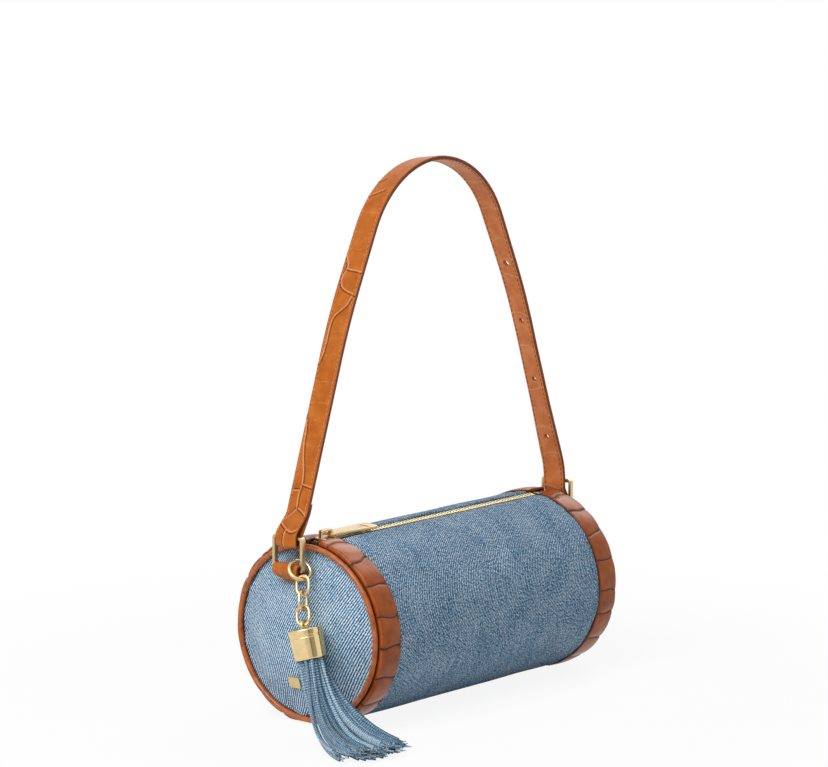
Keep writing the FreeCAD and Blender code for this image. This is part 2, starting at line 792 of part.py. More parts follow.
def tassel_bail():
    foot = cap_top - cap_wall - bail_depth - bail_centre.z
    legs = [wire_leg(bail_bend, link_wire, side, foot, 0) for side in (-1, 1)]
    bail = half_hoop(bail_bend, link_wire, 1).fuse(legs).removeSplitter()
    return bail.rotated(V(0, 0, 0), UP, link_turn + 90).translated(bail_centre)


def tassel_cap():
    foot = cap_top - cap_height
    groove_top = cap_top - cap_groove_drop
    groove_foot = groove_top - cap_groove_width
    waist = cap_radius - cap_groove_depth
    bore = cap_radius - cap_wall
    profile = [(0, cap_top), (cap_radius, cap_top), (cap_radius, groove_top), (waist, groove_top),
               (waist, groove_foot), (cap_radius, groove_foot), (cap_radius, foot), (bore, foot),
               (bore, cap_top - cap_wall), (0, cap_top - cap_wall)]
    points = [cap_axis + V(r, 0, z) for r, z in profile]
    cap = revolved(points, cap_axis, UP)
    hole = Part.makeCylinder(link_wire / 2 + bail_play, 4 * cap_wall,
                             V(bail_centre.x + bail_bend, bail_centre.y, cap_top - 2 * cap_wall), UP)
    return cap.cut([hole.rotated(bail_centre, UP, link_turn + turn) for turn in (0, 180)])


binding_top = cap_top - cap_wall - bail_depth - binding_clearance
binding_foot = binding_top - binding_height


def tassel_binding():
    radius = cap_radius - cap_wall - binding_clearance
    return Part.makeCylinder(radius, binding_height, cap_axis + UP * binding_foot, UP)


def oval_section(centre, side, rise, half_side, half_rise):
    # many-sided section on two directions
    points = []
    for i in range(fringe_sides):
        angle = radians(360 * i / fringe_sides)
        points.append(centre + side * (half_side * cos(angle)) + rise * (half_rise * sin(angle)))
    return Part.makePolygon(points + points[:1])


def tassel_fringe():
    # the bunch leaves the cap straight, bends to the front and fans out flat on the table
    front = V(0, -1, 0)
    leave_z = cap_top - cap_height - fringe_straight
    root = leaned(Part.Vertex(cap_axis + UP * leave_z)).Point

    def place(reach, aside, height):
        return V(root.x - aside * fringe_aside, root.y - reach * fringe_reach, height)

    bend = place(fringe_bend_reach_share, fringe_bend_aside_share, root.z * fringe_bend_height_share)
    fall = place(fringe_fall_reach_share, fringe_fall_aside_share, root.z * fringe_fall_height_share)

    def rise(slope):
        return V(0, -sin(radians(slope)), cos(radians(slope)))

    sections = [
        leaned(oval_section(cap_axis + UP * (binding_foot - seat_gap), ALONG, front, fringe_radius,
                            fringe_radius)),
        leaned(oval_section(cap_axis + UP * leave_z, ALONG, front, fringe_radius, fringe_radius)),
        oval_section(bend, ALONG, rise(fringe_bend_slope), fringe_half_width * fringe_bend_width_share,
                     fringe_bend_depth),
        oval_section(fall, ALONG, rise(fringe_fall_slope), fringe_half_width * fringe_fall_width_share,
                     fringe_fall_depth),
        oval_section(place(1, 1, fringe_end_height), ALONG, UP, fringe_half_width, fringe_half_depth),
    ]
    return Part.makeLoft(sections, True, True)


nodes = {
    "barrel_panel": barrel_panel(),
    "lining": lining(),
    "left_end_panel": mirror_end(end_panel()),
    "right_end_panel": end_panel(),
    "left_band": mirror_end(band()),
    "right_band": band(),
    "left_piping": mirror_end(piping()),
    "right_piping": piping(),
    "left_piping_cord": mirror_end(piping_cord()),
    "right_piping_cord": piping_cord(),
    "zipper_tape_front": zipper_tape(-1),
    "zipper_tape_back": zipper_tape(1),
    "zipper_teeth_front": zipper_teeth(-1),
    "zipper_teeth_back": zipper_teeth(1),
    "zipper_stops": zipper_stops(),
    "zipper_slider": zipper_slider(),
    "zipper_pull": zipper_pull(),
    "end_plate": end_plate(),
    "left_tab": on_strap(left_tab()),
    "right_tab": on_strap(right_tab()),
    "strap_ring": on_strap(strap_ring()),
    "strap_outer": on_strap(strap_outer()),
    "strap_lining": on_strap(strap_lining()),
    "strap_keeper": on_strap(strap_keeper()),
    "buckle_frame": on_strap(buckle_frame()),
    "buckle_prong": on_strap(buckle_prong()),
    "tassel_ring": on_strap(tassel_ring()),
    "chain_link_1": on_strap(leaned(chain_link(0))),
    "chain_link_2": on_strap(leaned(chain_link(1))),
    "chain_link_3": on_strap(leaned(chain_link(2))),
    "tassel_bail": on_strap(leaned(tassel_bail())),
    "tassel_cap": on_strap(leaned(tassel_cap())),
    "tassel_binding": on_strap(leaned(tassel_binding())),
    "tassel_fringe": on_strap(tassel_fringe()),
}

os.makedirs("parts", exist_ok=True)
for name, shape in nodes.items():
    shape.exportStep("parts/" + name + ".step")
    print(name, len(shape.Solids), round(shape.Volume, 1), shape.isValid())
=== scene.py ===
from math import atan2, cos, hypot, pi, radians, sin, tan

import bmesh
import bpy
import numpy as np
from mathutils import Matrix, Vector


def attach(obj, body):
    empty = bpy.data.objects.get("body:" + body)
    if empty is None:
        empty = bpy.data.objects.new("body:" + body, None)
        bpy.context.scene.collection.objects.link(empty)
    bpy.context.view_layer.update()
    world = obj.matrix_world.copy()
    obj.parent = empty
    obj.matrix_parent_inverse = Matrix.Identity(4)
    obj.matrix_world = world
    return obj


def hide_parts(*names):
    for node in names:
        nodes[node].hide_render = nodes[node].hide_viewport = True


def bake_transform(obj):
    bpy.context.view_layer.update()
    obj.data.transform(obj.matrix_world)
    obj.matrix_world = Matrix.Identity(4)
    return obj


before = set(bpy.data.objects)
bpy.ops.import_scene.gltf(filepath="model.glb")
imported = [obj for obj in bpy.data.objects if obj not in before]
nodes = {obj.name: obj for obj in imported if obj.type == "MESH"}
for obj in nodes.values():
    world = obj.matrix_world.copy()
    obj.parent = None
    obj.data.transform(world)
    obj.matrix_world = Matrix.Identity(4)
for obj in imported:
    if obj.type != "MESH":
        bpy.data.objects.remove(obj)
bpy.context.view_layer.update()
print("stage: frame loaded,", len(nodes), "nodes")

mm = 0.001  # lengths in the dictionaries are millimetres, meshes are metres
ends = ((-1, "left"), (1, "right"))


class Wire:
    # a socket that can take part in sums
    def __init__(self, tree, socket):
        self.tree = tree
        self.socket = socket

    def of(self, name):
        return Wire(self.tree, self.socket.node.outputs[name])

    def __add__(self, other):
        return self.tree.maths("ADD", self, other)

    def __sub__(self, other):
        return self.tree.maths("SUBTRACT", self, other)

    def __rsub__(self, other):
        return self.tree.maths("SUBTRACT", other, self)

    def __mul__(self, other):
        return self.tree.maths("MULTIPLY", self, other)

    def __pow__(self, other):
        return self.tree.maths("POWER", self, other)

    __radd__ = __add__
    __rmul__ = __mul__


class Tree:
    # builds nodes in a shader or geometry tree
    def __init__(self, tree):
        self.tree = tree

    def get(self, kind, settings=None, values=None, output=0):
        made = self.tree.nodes.new(kind)
        for name, value in (settings or {}).items():
            if name == "stops":
                ramp = made.color_ramp.elements
                while len(ramp) < len(value):
                    ramp.new(0.5)
                for stop, (place, colour) in zip(ramp, value):
                    stop.position = place
                    stop.color = colour
            else:
                setattr(made, name, value)
        for key, value in (values or {}).items():
            socket = made.inputs[key]
            if isinstance(value, Wire):
                self.tree.links.new(value.socket, socket)
            else:
                socket.default_value = value
        return Wire(self, made.outputs[output]) if made.outputs else made

    def maths(self, operation, *values):
        return self.get("ShaderNodeMath", {"operation": operation}, dict(enumerate(values)))

    def ripple(self, phase):
        # a wave between 0 and 1
        return self.maths("SINE", phase) * 0.5 + 0.5

    def ramp(self, value, *stops):
        return self.get("ShaderNodeValToRGB", {"stops": stops}, {"Fac": value})

    def mixColour(self, share, first, second):
        return self.get("ShaderNodeMix", {"data_type": "RGBA"}, {0: share, 6: first, 7: second}, 2)

    def noise(self, vector, scale, detail=2.0, rough=0.5):
        return self.get("ShaderNodeTexNoise", {},
                        {"Vector": vector, "Scale": scale, "Detail": detail, "Roughness": rough})

    def stretch(self, vector, amounts):
        return self.get("ShaderNodeVectorMath", {"operation": "MULTIPLY"}, {0: vector, 1: amounts})

    def smooth(self, value, low, high):
        return self.get("ShaderNodeMapRange", {"interpolation_type": "SMOOTHSTEP"},
                        {"Value": value, "From Min": low, "From Max": high})

    def mark(self, name):
        return self.get("ShaderNodeAttribute", {"attribute_name": name}, {}, "Fac")

    def place(self):
        return self.get("ShaderNodeTexCoord", {}, {}, "Object")

    def inMillimetres(self, vector):
        return self.stretch(vector, (1 / mm, 1 / mm, 1 / mm))

    def onMap(self, name):
        return self.inMillimetres(self.get("ShaderNodeUVMap", {"uv_map": name}))

    def parts(self, vector):
        split = self.get("ShaderNodeSeparateXYZ", {}, {0: vector})
        return [split.of(axis) for axis in "XYZ"]


def rgb(*levels):
    # written as 0 to 255 screen values
    shares = [level / 255 for level in levels]
    return (*[c / 12.92 if c <= 0.04045 else ((c + 0.055) / 1.055) ** 2.4 for c in shares], 1)


def newMaterial(name):
    material = bpy.data.materials.new(name)
    material.use_nodes = True
    material.node_tree.nodes.clear()
    return material, Tree(material.node_tree)


def closeMaterial(t, colour, rough, height, depth, strength, **fixed):
    bump = t.get("ShaderNodeBump", {}, {"Strength": strength, "Distance": depth, "Height": height})
    values = {"Base Color": colour, "Roughness": rough, "Normal": bump}
    for name, value in fixed.items():
        values[name.replace("_", " ")] = value
    shader = t.get("ShaderNodeBsdfPrincipled", {}, values)
    t.get("ShaderNodeOutputMaterial", {}, {"Surface": shader})


# cloth and leather finishes

denimLook = {"light": rgb(226, 238, 246), "mid": rgb(108, 154, 184), "dark": rgb(24, 72, 112), "rough": 0.86,
             "bump": 0.0003, "fleck": (1.3, 0.8), "yarn": (1.6, 0.05, 1), "cloud": 0.045, "fade": 0.5}
barrelWeave = {"angle": -30.0, "pitch": 1.5, "waver": 1.8, "rib": 0.8, "dash": 2.9, "streak": 1.0,
               "tone": 0.375}
endWeave = {"angle": 29.0, "pitch": 1.53, "waver": 0.8, "rib": 0.95, "dash": 1.9, "streak": 0.4, "tone": 0.5}


def denimMaterial(name, weave):
    # twill ribs broken by flecks and yarn streaks, over a slow fade
    material, t = newMaterial(name)
    cloth = t.onMap("cloth")
    x, y, _ = t.parts(cloth)
    ca, sa = cos(radians(weave["angle"])), sin(radians(weave["angle"]))
    over, along = x * ca + y * sa, y * ca - x * sa
    rib = t.ripple(over * (2 * pi / weave["pitch"]) + t.noise(cloth, 0.2) * weave["waver"])
    fleck = denimLook["fleck"]
    grain = t.get("ShaderNodeCombineXYZ", {}, {"X": over * fleck[0], "Y": along * fleck[1]})
    dash = t.noise(grain, 1.0, 1.0, 0.6)
    streak = t.noise(t.stretch(cloth, denimLook["yarn"]), 1.0, 2.0, 0.6)
    cloud = t.noise(cloth, denimLook["cloud"], 3.0, 0.55)
    middle = (weave["rib"] + weave["dash"] + weave["streak"] + denimLook["fade"]) / 2 - weave["tone"]
    tone = rib * weave["rib"] + dash * weave["dash"] + streak * weave["streak"]
    tone = tone + cloud * denimLook["fade"] - middle
    colour = t.ramp(tone, (0.0, denimLook["dark"]), (0.5, denimLook["mid"]), (1.0, denimLook["light"]))
    closeMaterial(t, colour, denimLook["rough"], rib * 0.6 + dash * 0.4, denimLook["bump"], 0.8,
                  Sheen_Weight=0.08, Sheen_Roughness=0.5, Specular_IOR_Level=0.1)
    return material


# the dark crease colour also serves as painted shade, and the colour after it is a painted highlight
hideLook = {"base": rgb(162, 78, 18), "deep": rgb(116, 48, 8), "pale": rgb(188, 102, 40),
            "crease": rgb(52, 18, 6), "ridgeHighlight": rgb(228, 160, 106), "paint": rgb(66, 34, 26), "gloss": 0.24,
            "shine": 0.2, "coat": 0.1, "bump": 0.00016}


def hideMaterial(name, **changes):
    # the crease mark is dark where positive: creases, with painted shade beside them, in seams and on the
    # shaded side of ridges; where negative it is a painted highlight along raised ridges and lines
    look = {**hideLook, **changes}
    material, t = newMaterial(name)
    skin = t.onMap("hide")
    crease = t.mark("crease")
    mottle = t.noise(skin, 0.11, 4.0, 0.6)
    pores = t.noise(skin, 2.6, 3.0, 0.6)
    lines = t.noise(t.stretch(skin, (0.25, 1.3, 1)), 1.0, 3.0, 0.6)
    body = t.ramp(mottle * 0.75 + lines * 0.25, (0.28, look["deep"]), (0.5, look["base"]), (0.78, look["pale"]))
    # dark in creases, with the painted shade that the crease mark carries; then a painted highlight where the
    # mark is negative
    body = t.mixColour(t.smooth(crease, 0.2, 0.9) * 0.9, body, look["crease"])
    body = t.mixColour(t.smooth(crease * -1.0, 0.15, 0.9) * 0.8, body, look["ridgeHighlight"])
    edge = t.mixColour(t.smooth(pores, 0.45, 0.75) * 0.2, look["paint"], look["deep"])
    colour = t.mixColour(t.mark("paint"), body, edge)
    rough = mottle * 0.12 + t.smooth(crease, 0.0, 1.0) * 0.2 + look["gloss"]
    closeMaterial(t, colour, rough, (pores + lines + mottle) * 0.2, look["bump"], 0.45,
                  Coat_Weight=look["coat"], Coat_Roughness=0.2, Specular_IOR_Level=look["shine"])
    return material


def goldMaterial(name, brush, polish, pale, deep):
    # brush stretches the fine lines of the polish along an axis
    material, t = newMaterial(name)
    spot = t.inMillimetres(t.place())
    cloud = t.noise(spot, 0.25, 3.0)
    lines = t.noise(t.stretch(spot, brush), 1.0, 3.0, 0.6)
    colour = t.mixColour(cloud * 0.6 + lines * 0.3, pale, deep)
    rough = lines * 0.1 + cloud * 0.08 + polish
    closeMaterial(t, colour, rough, lines, 0.00003, 0.15, Metallic=1.0)
    return material


def wovenMaterial(name, dark, light, warp=8.0, weft=(8.0, 8.0), fuzz=1.5, bump=(0.0002, 0.6), sheen=0.0):
    # threads across X, and across Y and Z, in radians per mm
    material, t = newMaterial(name)
    spot = t.inMillimetres(t.place())
    x, y, z = t.parts(spot)
    weave = t.ripple(x * warp) * t.ripple(y * weft[0] + z * weft[1])
    nap = t.noise(spot, fuzz) * 0.4
    colour = t.mixColour(weave * 0.6 + nap, dark, light)
    closeMaterial(t, colour, 0.85, weave + nap, *bump, Sheen_Weight=sheen)
    return material


def threadMaterial(name, dark, light):
    material, t = newMaterial(name)
    twist = t.noise(t.inMillimetres(t.place()), 3.2)
    colour = t.mixColour(t.smooth(twist, 0.3, 0.7), dark, light)
    closeMaterial(t, colour, 0.7, twist, 0.00015, 0.7)
    return material


fringeLook = {"dark": rgb(30, 64, 92), "mid": rgb(112, 150, 176), "light": rgb(198, 218, 230), "knit": 0.5,
              "fuzz": 1.4, "shade": 0.5, "gap": 0.5, "offset": 0.55, "ribs": 3.7, "bump": 0.00035}


def fringeMaterial(name):
    # ribbed ribbons: cross ribs along the strand, and painted shade in the gaps at its two thin sides
    look = fringeLook
    material, t = newMaterial(name)
    around = t.mark("around")
    lean = t.maths("PINGPONG", around * 4.0, 1.0)
    knit = t.ripple((t.mark("along") * (1 / mm) + lean * 0.9) * look["ribs"])
    # painted shade on the ribbon's two thin sides
    gap = t.maths("COSINE", around * (2 * pi)) ** 6.0
    fuzz = t.noise(t.place(), 1100.0, 2.0, 0.65)
    tone = knit * look["knit"] + fuzz * look["fuzz"] + t.mark("shade") * look["shade"] - gap * look["gap"]
    colour = t.ramp(tone - look["offset"], (0.0, look["dark"]), (0.5, look["mid"]), (1.0, look["light"]))
    closeMaterial(t, colour, 0.85, knit * 0.8 + fuzz * 0.4, look["bump"], 0.9, Sheen_Weight=0.15,
                  Specular_IOR_Level=0.15)
    return material


barrelDenim = denimMaterial("barrelDenim", barrelWeave)
panelDenim = denimMaterial("panelDenim", endWeave)
crocHide = hideMaterial("crocHide")
pipingHide = hideMaterial("pipingHide", base=rgb(180, 94, 40), pale=rgb(204, 122, 66),
                          gloss=0.2, shine=0.35, coat=0.12)
strapHide = hideMaterial("strapHide", base=rgb(180, 98, 32), deep=rgb(158, 80, 22), pale=rgb(204, 122, 52),
                         crease=rgb(92, 36, 10), paint=rgb(136, 80, 52), gloss=0.3, shine=0.16, coat=0.04)
liningHide = hideMaterial("liningHide", base=rgb(206, 118, 60), deep=rgb(186, 96, 42), pale=rgb(226, 150, 104),
                          crease=rgb(128, 66, 36), paint=rgb(92, 50, 32), gloss=0.4, shine=0.2, coat=0.04)
goldSatin = goldMaterial("goldSatin", (0.3, 2.5, 2.5), 0.2, rgb(232, 210, 164), rgb(188, 154, 98))
goldTeeth = goldMaterial("goldTeeth", (2.5, 0.5, 2.5), 0.24, rgb(246, 232, 194), rgb(208, 186, 138))
# the cap's gold is paler than the satin gold: a painted brightening of its reflections; its low roughness is
# its polish
goldTurnedPaintedBright = goldMaterial("goldTurnedPaintedBright", (0.5, 0.5, 3.0), 0.06, rgb(250, 230, 180), rgb(208, 172, 108))
zipTape = wovenMaterial("zipTape", rgb(16, 20, 34), rgb(52, 62, 92), 9.0, (7.0, 0.0), 2.0, (0.00015, 0.8), 0.2)
innerCloth = wovenMaterial("innerCloth", rgb(60, 64, 78), rgb(92, 96, 112))
cottonCord = wovenMaterial("cottonCord", rgb(180, 168, 146), rgb(214, 204, 186))
tanThread = threadMaterial("tanThread", rgb(190, 110, 62), rgb(232, 170, 122))
darkThread = threadMaterial("darkThread", rgb(74, 36, 18), rgb(126, 68, 40))
blueThread = threadMaterial("blueThread", rgb(92, 124, 160), rgb(166, 190, 214))
fringeBlue = fringeMaterial("fringeBlue")
print("stage: materials")


# mesh tools


def waves(u, v, seed, size):
    # smooth seeded noise between about -1 and 1
    rng = np.random.default_rng(seed)
    total = np.zeros(np.broadcast(u, v).shape)
    for _ in range(7):
        turn, phase = rng.uniform(0, 2 * pi, 2)
        pitch = size * rng.uniform(0.6, 1.6)
        total += np.sin((u * cos(turn) + v * sin(turn)) * 2 * pi / pitch + phase)
    return total / 3.5


def bell(gap, width):
    return np.exp(-(gap / width) ** 2)


def unit(vector):
    return vector / np.linalg.norm(vector)


def runAlong(points):
    return np.concatenate([[0], np.cumsum(np.linalg.norm(np.diff(points, axis=0), axis=1))])


def addObject(name, data):
    obj = bpy.data.objects.new(name, data)
    bpy.context.scene.collection.objects.link(obj)
    return obj


def fromBmesh(name, bm):
    mesh = bpy.data.meshes.new(name)
    bm.to_mesh(mesh)
    bm.free()
    return addObject(name, mesh)


def shadeSmooth(obj):
    for face in obj.data.polygons:
        face.use_smooth = True


def outward(mesh, merge):
    bm = bmesh.new()
    bm.from_mesh(mesh)
    if merge:
        bmesh.ops.remove_doubles(bm, verts=bm.verts, dist=1e-6)
    bmesh.ops.recalc_face_normals(bm, faces=bm.faces)
    bm.to_mesh(mesh)
    bm.free()


def meshFromGrid(name, points, material, uv=None, uvName="cloth", closeAround=False, caps=False, marks=None,
                 merge=False):
    # points is rows by columns by 3; uv has one more column where the grid closes round
    rows, cols = points.shape[:2]
    last = cols if closeAround else cols - 1
    i, j = np.meshgrid(np.arange(rows - 1), np.arange(last), indexing="ij")
    i, j = i.ravel(), j.ravel()
    jn = (j + 1) % cols
    faces = np.stack([i * cols + j, (i + 1) * cols + j, (i + 1) * cols + jn, i * cols + jn], 1).tolist()
    if caps:
        faces.append(list(range(cols - 1, -1, -1)))
        faces.append([(rows - 1) * cols + k for k in range(cols)])
    mesh = bpy.data.meshes.new(name)
    mesh.from_pydata((points.reshape(-1, 3) * mm).tolist(), [], faces)
    if uv is not None:
        layer = mesh.uv_layers.new(name=uvName)
        corner = np.stack([uv[i, j], uv[i + 1, j], uv[i + 1, j + 1], uv[i, j + 1]], 1).reshape(-1, 2) * mm
        if caps:
            corner = np.concatenate([corner, np.zeros((2 * cols, 2))])
        layer.data.foreach_set("uv", corner.astype(np.float32).ravel())
    for mark, values in (marks or {}).items():
        layer = mesh.attributes.new(mark, "FLOAT", "POINT")
        layer.data.foreach_set("value", values.astype(np.float32).ravel())
    mesh.materials.append(material)
    mesh.update()
    outward(mesh, merge)
    obj = addObject(name, mesh)
    shadeSmooth(obj)
    return obj


def closedUv(u, v, lastV):
    # a closed outline has one more column, where it meets its start
    return np.stack([np.concatenate([u, u[:, :1]], 1), np.concatenate([v, lastV + 0 * v[:, :1]], 1)], -1)


def settle(obj):
    # turn modifiers into plain mesh
    bpy.context.view_layer.update()
    graph = bpy.context.evaluated_depsgraph_get()
    old = obj.data
    mesh = bpy.data.meshes.new_from_object(obj.evaluated_get(graph), preserve_all_data_layers=True,
                                           depsgraph=graph)
    obj.modifiers.clear()
    obj.data = mesh
    if old.users == 0:
        bpy.data.meshes.remove(old)


def thicken(obj, wall):
    skin = obj.modifiers.new("wall", "SOLIDIFY")
    skin.thickness = wall * mm
    skin.offset = -1
    settle(obj)


def cutWith(obj, cutter):
    cut = obj.modifiers.new("cut", "BOOLEAN")
    cut.operation = "DIFFERENCE"
    cut.solver = "EXACT"
    cut.object = cutter
    settle(obj)


def turnedAbout(place, turn, axis):
    # a turn about an axis through a place given in millimetres
    shift = Matrix.Translation(Vector(place) * mm)
    return shift @ Matrix.Rotation(turn, 4, axis) @ shift.inverted()


def put(obj, body, slotName, *replaced):
    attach(obj, body)
    if replaced:
        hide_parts(*replaced)


# barrel, end panels, bands and piping

barrel = {"radius": 57.5, "axis": 56.5, "half": 119.5, "bandWidth": 18.0, "bandRadius": 58.0, "tuck": 2.0,
          "wall": 1.4, "zipRoll": 4.0, "zipGap": 9.5, "hem": 7.0, "hemRise": 0.32, "hemStitch": 1.8,
          "wrinkle": 0.22, "wrinkleSize": 46, "pucker": 0.3, "puckerSize": 15}
zipRoll = radians(barrel["zipRoll"])
bandEdge = barrel["half"] - barrel["bandWidth"]


def roundPoint(x, radius, angle, floor):
    # angle runs from the zip towards the back; the underside is softly flat
    turn = angle - zipRoll
    y = radius * np.sin(turn)
    over = barrel["axis"] + radius * np.cos(turn) - floor
    z = floor + 0.5 * (over + np.sqrt(over ** 2 + 0.25))
    return np.stack(np.broadcast_arrays(x, y, z), -1)


def roundWay(angle):
    turn = angle - zipRoll
    return np.stack([0 * turn, np.sin(turn), np.cos(turn)], -1)


def makeBarrel():
    radius, reach = barrel["radius"], bandEdge + barrel["tuck"]
    start = barrel["zipGap"] / 2 / radius
    x = np.linspace(-reach, reach, 120)[:, None]
    a = np.linspace(start, 2 * pi - start, 240)[None, :]
    fromEdge = np.minimum(a - start, 2 * pi - start - a) * radius
    fromBand = (bandEdge - np.abs(x)).clip(0)
    wrinkle = waves(x, a * 57, 3, barrel["wrinkleSize"]) * np.minimum(1, fromBand / 12)
    pucker = waves(a * 57, 0 * x, 5, barrel["puckerSize"]) * np.exp(-fromBand / 7)
    hem = 1 / (1 + np.exp((fromEdge - barrel["hem"]) / 0.45))
    r = radius + barrel["wrinkle"] * wrinkle + barrel["pucker"] * pucker + barrel["hemRise"] * hem
    r = r - 0.25 * bell(fromEdge - barrel["hem"] + barrel["hemStitch"], 0.7)
    r = r - (1 - (fromEdge / 2.0).clip(0, 1)) ** 2 - 0.35 * np.exp(-fromBand / 2.0)
    points = roundPoint(x + 0 * a, r, a + 0 * x, 0.25)
    uv = np.stack(np.broadcast_arrays(x, a * radius), -1)
    obj = meshFromGrid("denimBarrel", points, barrelDenim, uv)
    thicken(obj, barrel["wall"])
    put(obj, "bag", "denim", "barrel_panel")


endPanel = {"seam": 52.5, "apex": 132.5, "sphere": 100.7, "flare": 1.7, "flareFrom": 46.0, "pucker": 0.35,
            "puckerSize": 13, "sag": 0.12}


def makeEndPanel(name, side, node):
    seam, sphere = endPanel["seam"], endPanel["sphere"]
    r = np.linspace(0.4, seam, 64)[:, None]
    full = np.linspace(0, 2 * pi, 181)[None, :]
    a = full[:, :-1]
    rim = np.exp(-(seam - r) / 6.0)
    x = endPanel["apex"] - sphere + np.sqrt(sphere ** 2 - r ** 2)
    x = x + endPanel["flare"] * ((r - endPanel["flareFrom"]).clip(0) / (seam - endPanel["flareFrom"])) ** 2
    x = x + endPanel["pucker"] * rim * waves(a * 52, 0 * r, 11 + side, endPanel["puckerSize"])
    x = x - endPanel["sag"] * (1 - rim) * (waves(r, a * 20, 4, 40) + 1)
    points = np.stack([side * x, r * np.sin(a), barrel["axis"] + r * np.cos(a)], -1)
    uv = np.stack([r * np.sin(full), r * np.cos(full)], -1)
    obj = meshFromGrid(name, points, panelDenim, uv, closeAround=True)
    # close the small hole at the middle, and face the open sheet outwards
    bm = bmesh.new()
    bm.from_mesh(obj.data)
    hole = [e for e in bm.edges if e.is_boundary and e.calc_length() < 0.0001]
    bmesh.ops.contextual_create(bm, geom=hole)
    bmesh.ops.recalc_face_normals(bm, faces=bm.faces)
    if sum(f.normal.x * f.calc_area() for f in bm.faces) * side < 0:
        bmesh.ops.reverse_faces(bm, faces=bm.faces)
    bm.to_mesh(obj.data)
    bm.free()
    thicken(obj, barrel["wall"])
    put(obj, "bag", "denim", node)


croc = {"depth": 0.6, "width": 0.6, "crown": 0.5, "crownWidth": 3.2, "pitch": 19.0, "slopeShade": 0.42,
        "slopeShadeWidth": 2.2,
        "sideScales": ((0.22, 10.0), (0.04, -10.0)),  # chance and place across
        "seamShade": (0.0, 0.5, 0.9, 0.9)}


def crocCells(u, v, seed):
    # distance to the borders between scales, which bend because the scales differ in size
    rng = np.random.default_rng(seed)
    first, second = np.full(u.shape, 1e9), np.full(u.shape, 1e9)
    bentU = u + 1.2 * waves(u, v, seed + 1, 17)
    bentV = v + 0.9 * waves(u, v, seed + 2, 13)
    for k in range(int(u.max() / croc["pitch"]) + 2):
        middle = croc["pitch"] * (k + rng.uniform(-0.2, 0.2))
        scales = [(middle, rng.uniform(-1.5, 1.0), rng.uniform(1.0, 1.2))]
        for chance, across in croc["sideScales"]:
            if rng.uniform() < chance:
                scales.append((middle + rng.uniform(-6, 6), across, rng.uniform(0.6, 0.75)))
        for placeU, placeV, size in scales:
            gap = np.hypot(bentU - placeU, bentV - placeV) / size
            second = np.minimum(second, np.maximum(first, gap))
            first = np.minimum(first, gap)
    return (second - first) / 2


def crocLines(u, v, pitch, seed, bow, half):
    # distance to the nearest of the creases that run across
    rng = np.random.default_rng(seed)
    places = np.cumsum(rng.uniform(0.75, 1.25, int(u.max() / pitch) + 4) * pitch) - pitch
    wobble = 1.1 * waves(u * 0.3, v, seed + 1, 14)
    best = np.full(u.shape, 1e9)
    for place in places:
        lean = rng.uniform(-0.22, 0.22)
        line = place + lean * v + bow * rng.uniform(0.3, 1.4) * (v / half) ** 2
        best = np.minimum(best, np.abs(u + wobble - line))
    return best


def makeBand(name, side, node):
    half, width, radius = barrel["half"], barrel["bandWidth"], barrel["bandRadius"]
    start = barrel["zipGap"] / 2 / radius
    a = np.linspace(start, 2 * pi - start, 860)[:, None]
    # outline of the cut: place along the barrel and radius
    edge = [(bandEdge + 0.2, 56.7), (bandEdge, 57.0), (bandEdge, 57.6), (bandEdge + 0.12, 57.88)]
    top = [(bandEdge + 0.35 + t * (width - 1.6), radius + 0.35 * sin(pi * t)) for t in np.linspace(0, 1, 34)]
    rim = [(half - 0.75, 57.85), (half - 0.3, 57.45), (half - 0.05, 56.9), (half, 56.2), (half, 54.6),
           (half, 52.6)]
    back = [(half - 1.3, 52.6), (half - 1.4, 55.4), (half - 2.2, 56.65), (bandEdge + 4, 56.65)]
    outline = np.array(edge + top + rim + back)
    first, last = len(edge), len(edge) + len(top)
    onTop, paint, groove = np.zeros((3, len(outline)))
    onTop[first:last + 3] = 1
    onTop[first] = 0.3
    paint[:first] = 1
    paint[first] = 0.5
    # painted shade on the band's end face, in the seam beside the piping
    groove[last + 2:last + 6] = croc["seamShade"]
    s = runAlong(outline)
    u, v = a * radius + 0 * s, s - width / 2 + 0 * a
    near = crocCells(u, v, 21 + side)
    crease = bell(near, croc["width"]) * onTop
    lift = croc["crown"] * (1 - bell(near, croc["crownWidth"])) * onTop - croc["depth"] * crease
    # painted shade on the scales' slopes beside each crease, carried in the crease mark
    slopeShade = croc["slopeShade"] * bell(near, croc["slopeShadeWidth"]) * onTop
    crease = np.maximum(np.maximum(crease, slopeShade), groove)
    floor = (radius - outline[:, 1]).clip(0) + 0.1
    x = side * outline[:, 0] + 0 * a
    points = roundPoint(x, outline[:, 1] + lift, a + 0 * x, floor + 0 * a)
    obj = meshFromGrid(name, points, crocHide, closedUv(u, v, v[:, :1] + 40), "hide", closeAround=True,
                       caps=True, marks={"crease": crease, "paint": paint + 0 * a})
    put(obj, "bag", "leather", node)


piping = {"ring": 53.9, "tube": 1.7, "x": 121.25, "lump": 0.07, "crease": 0.2}


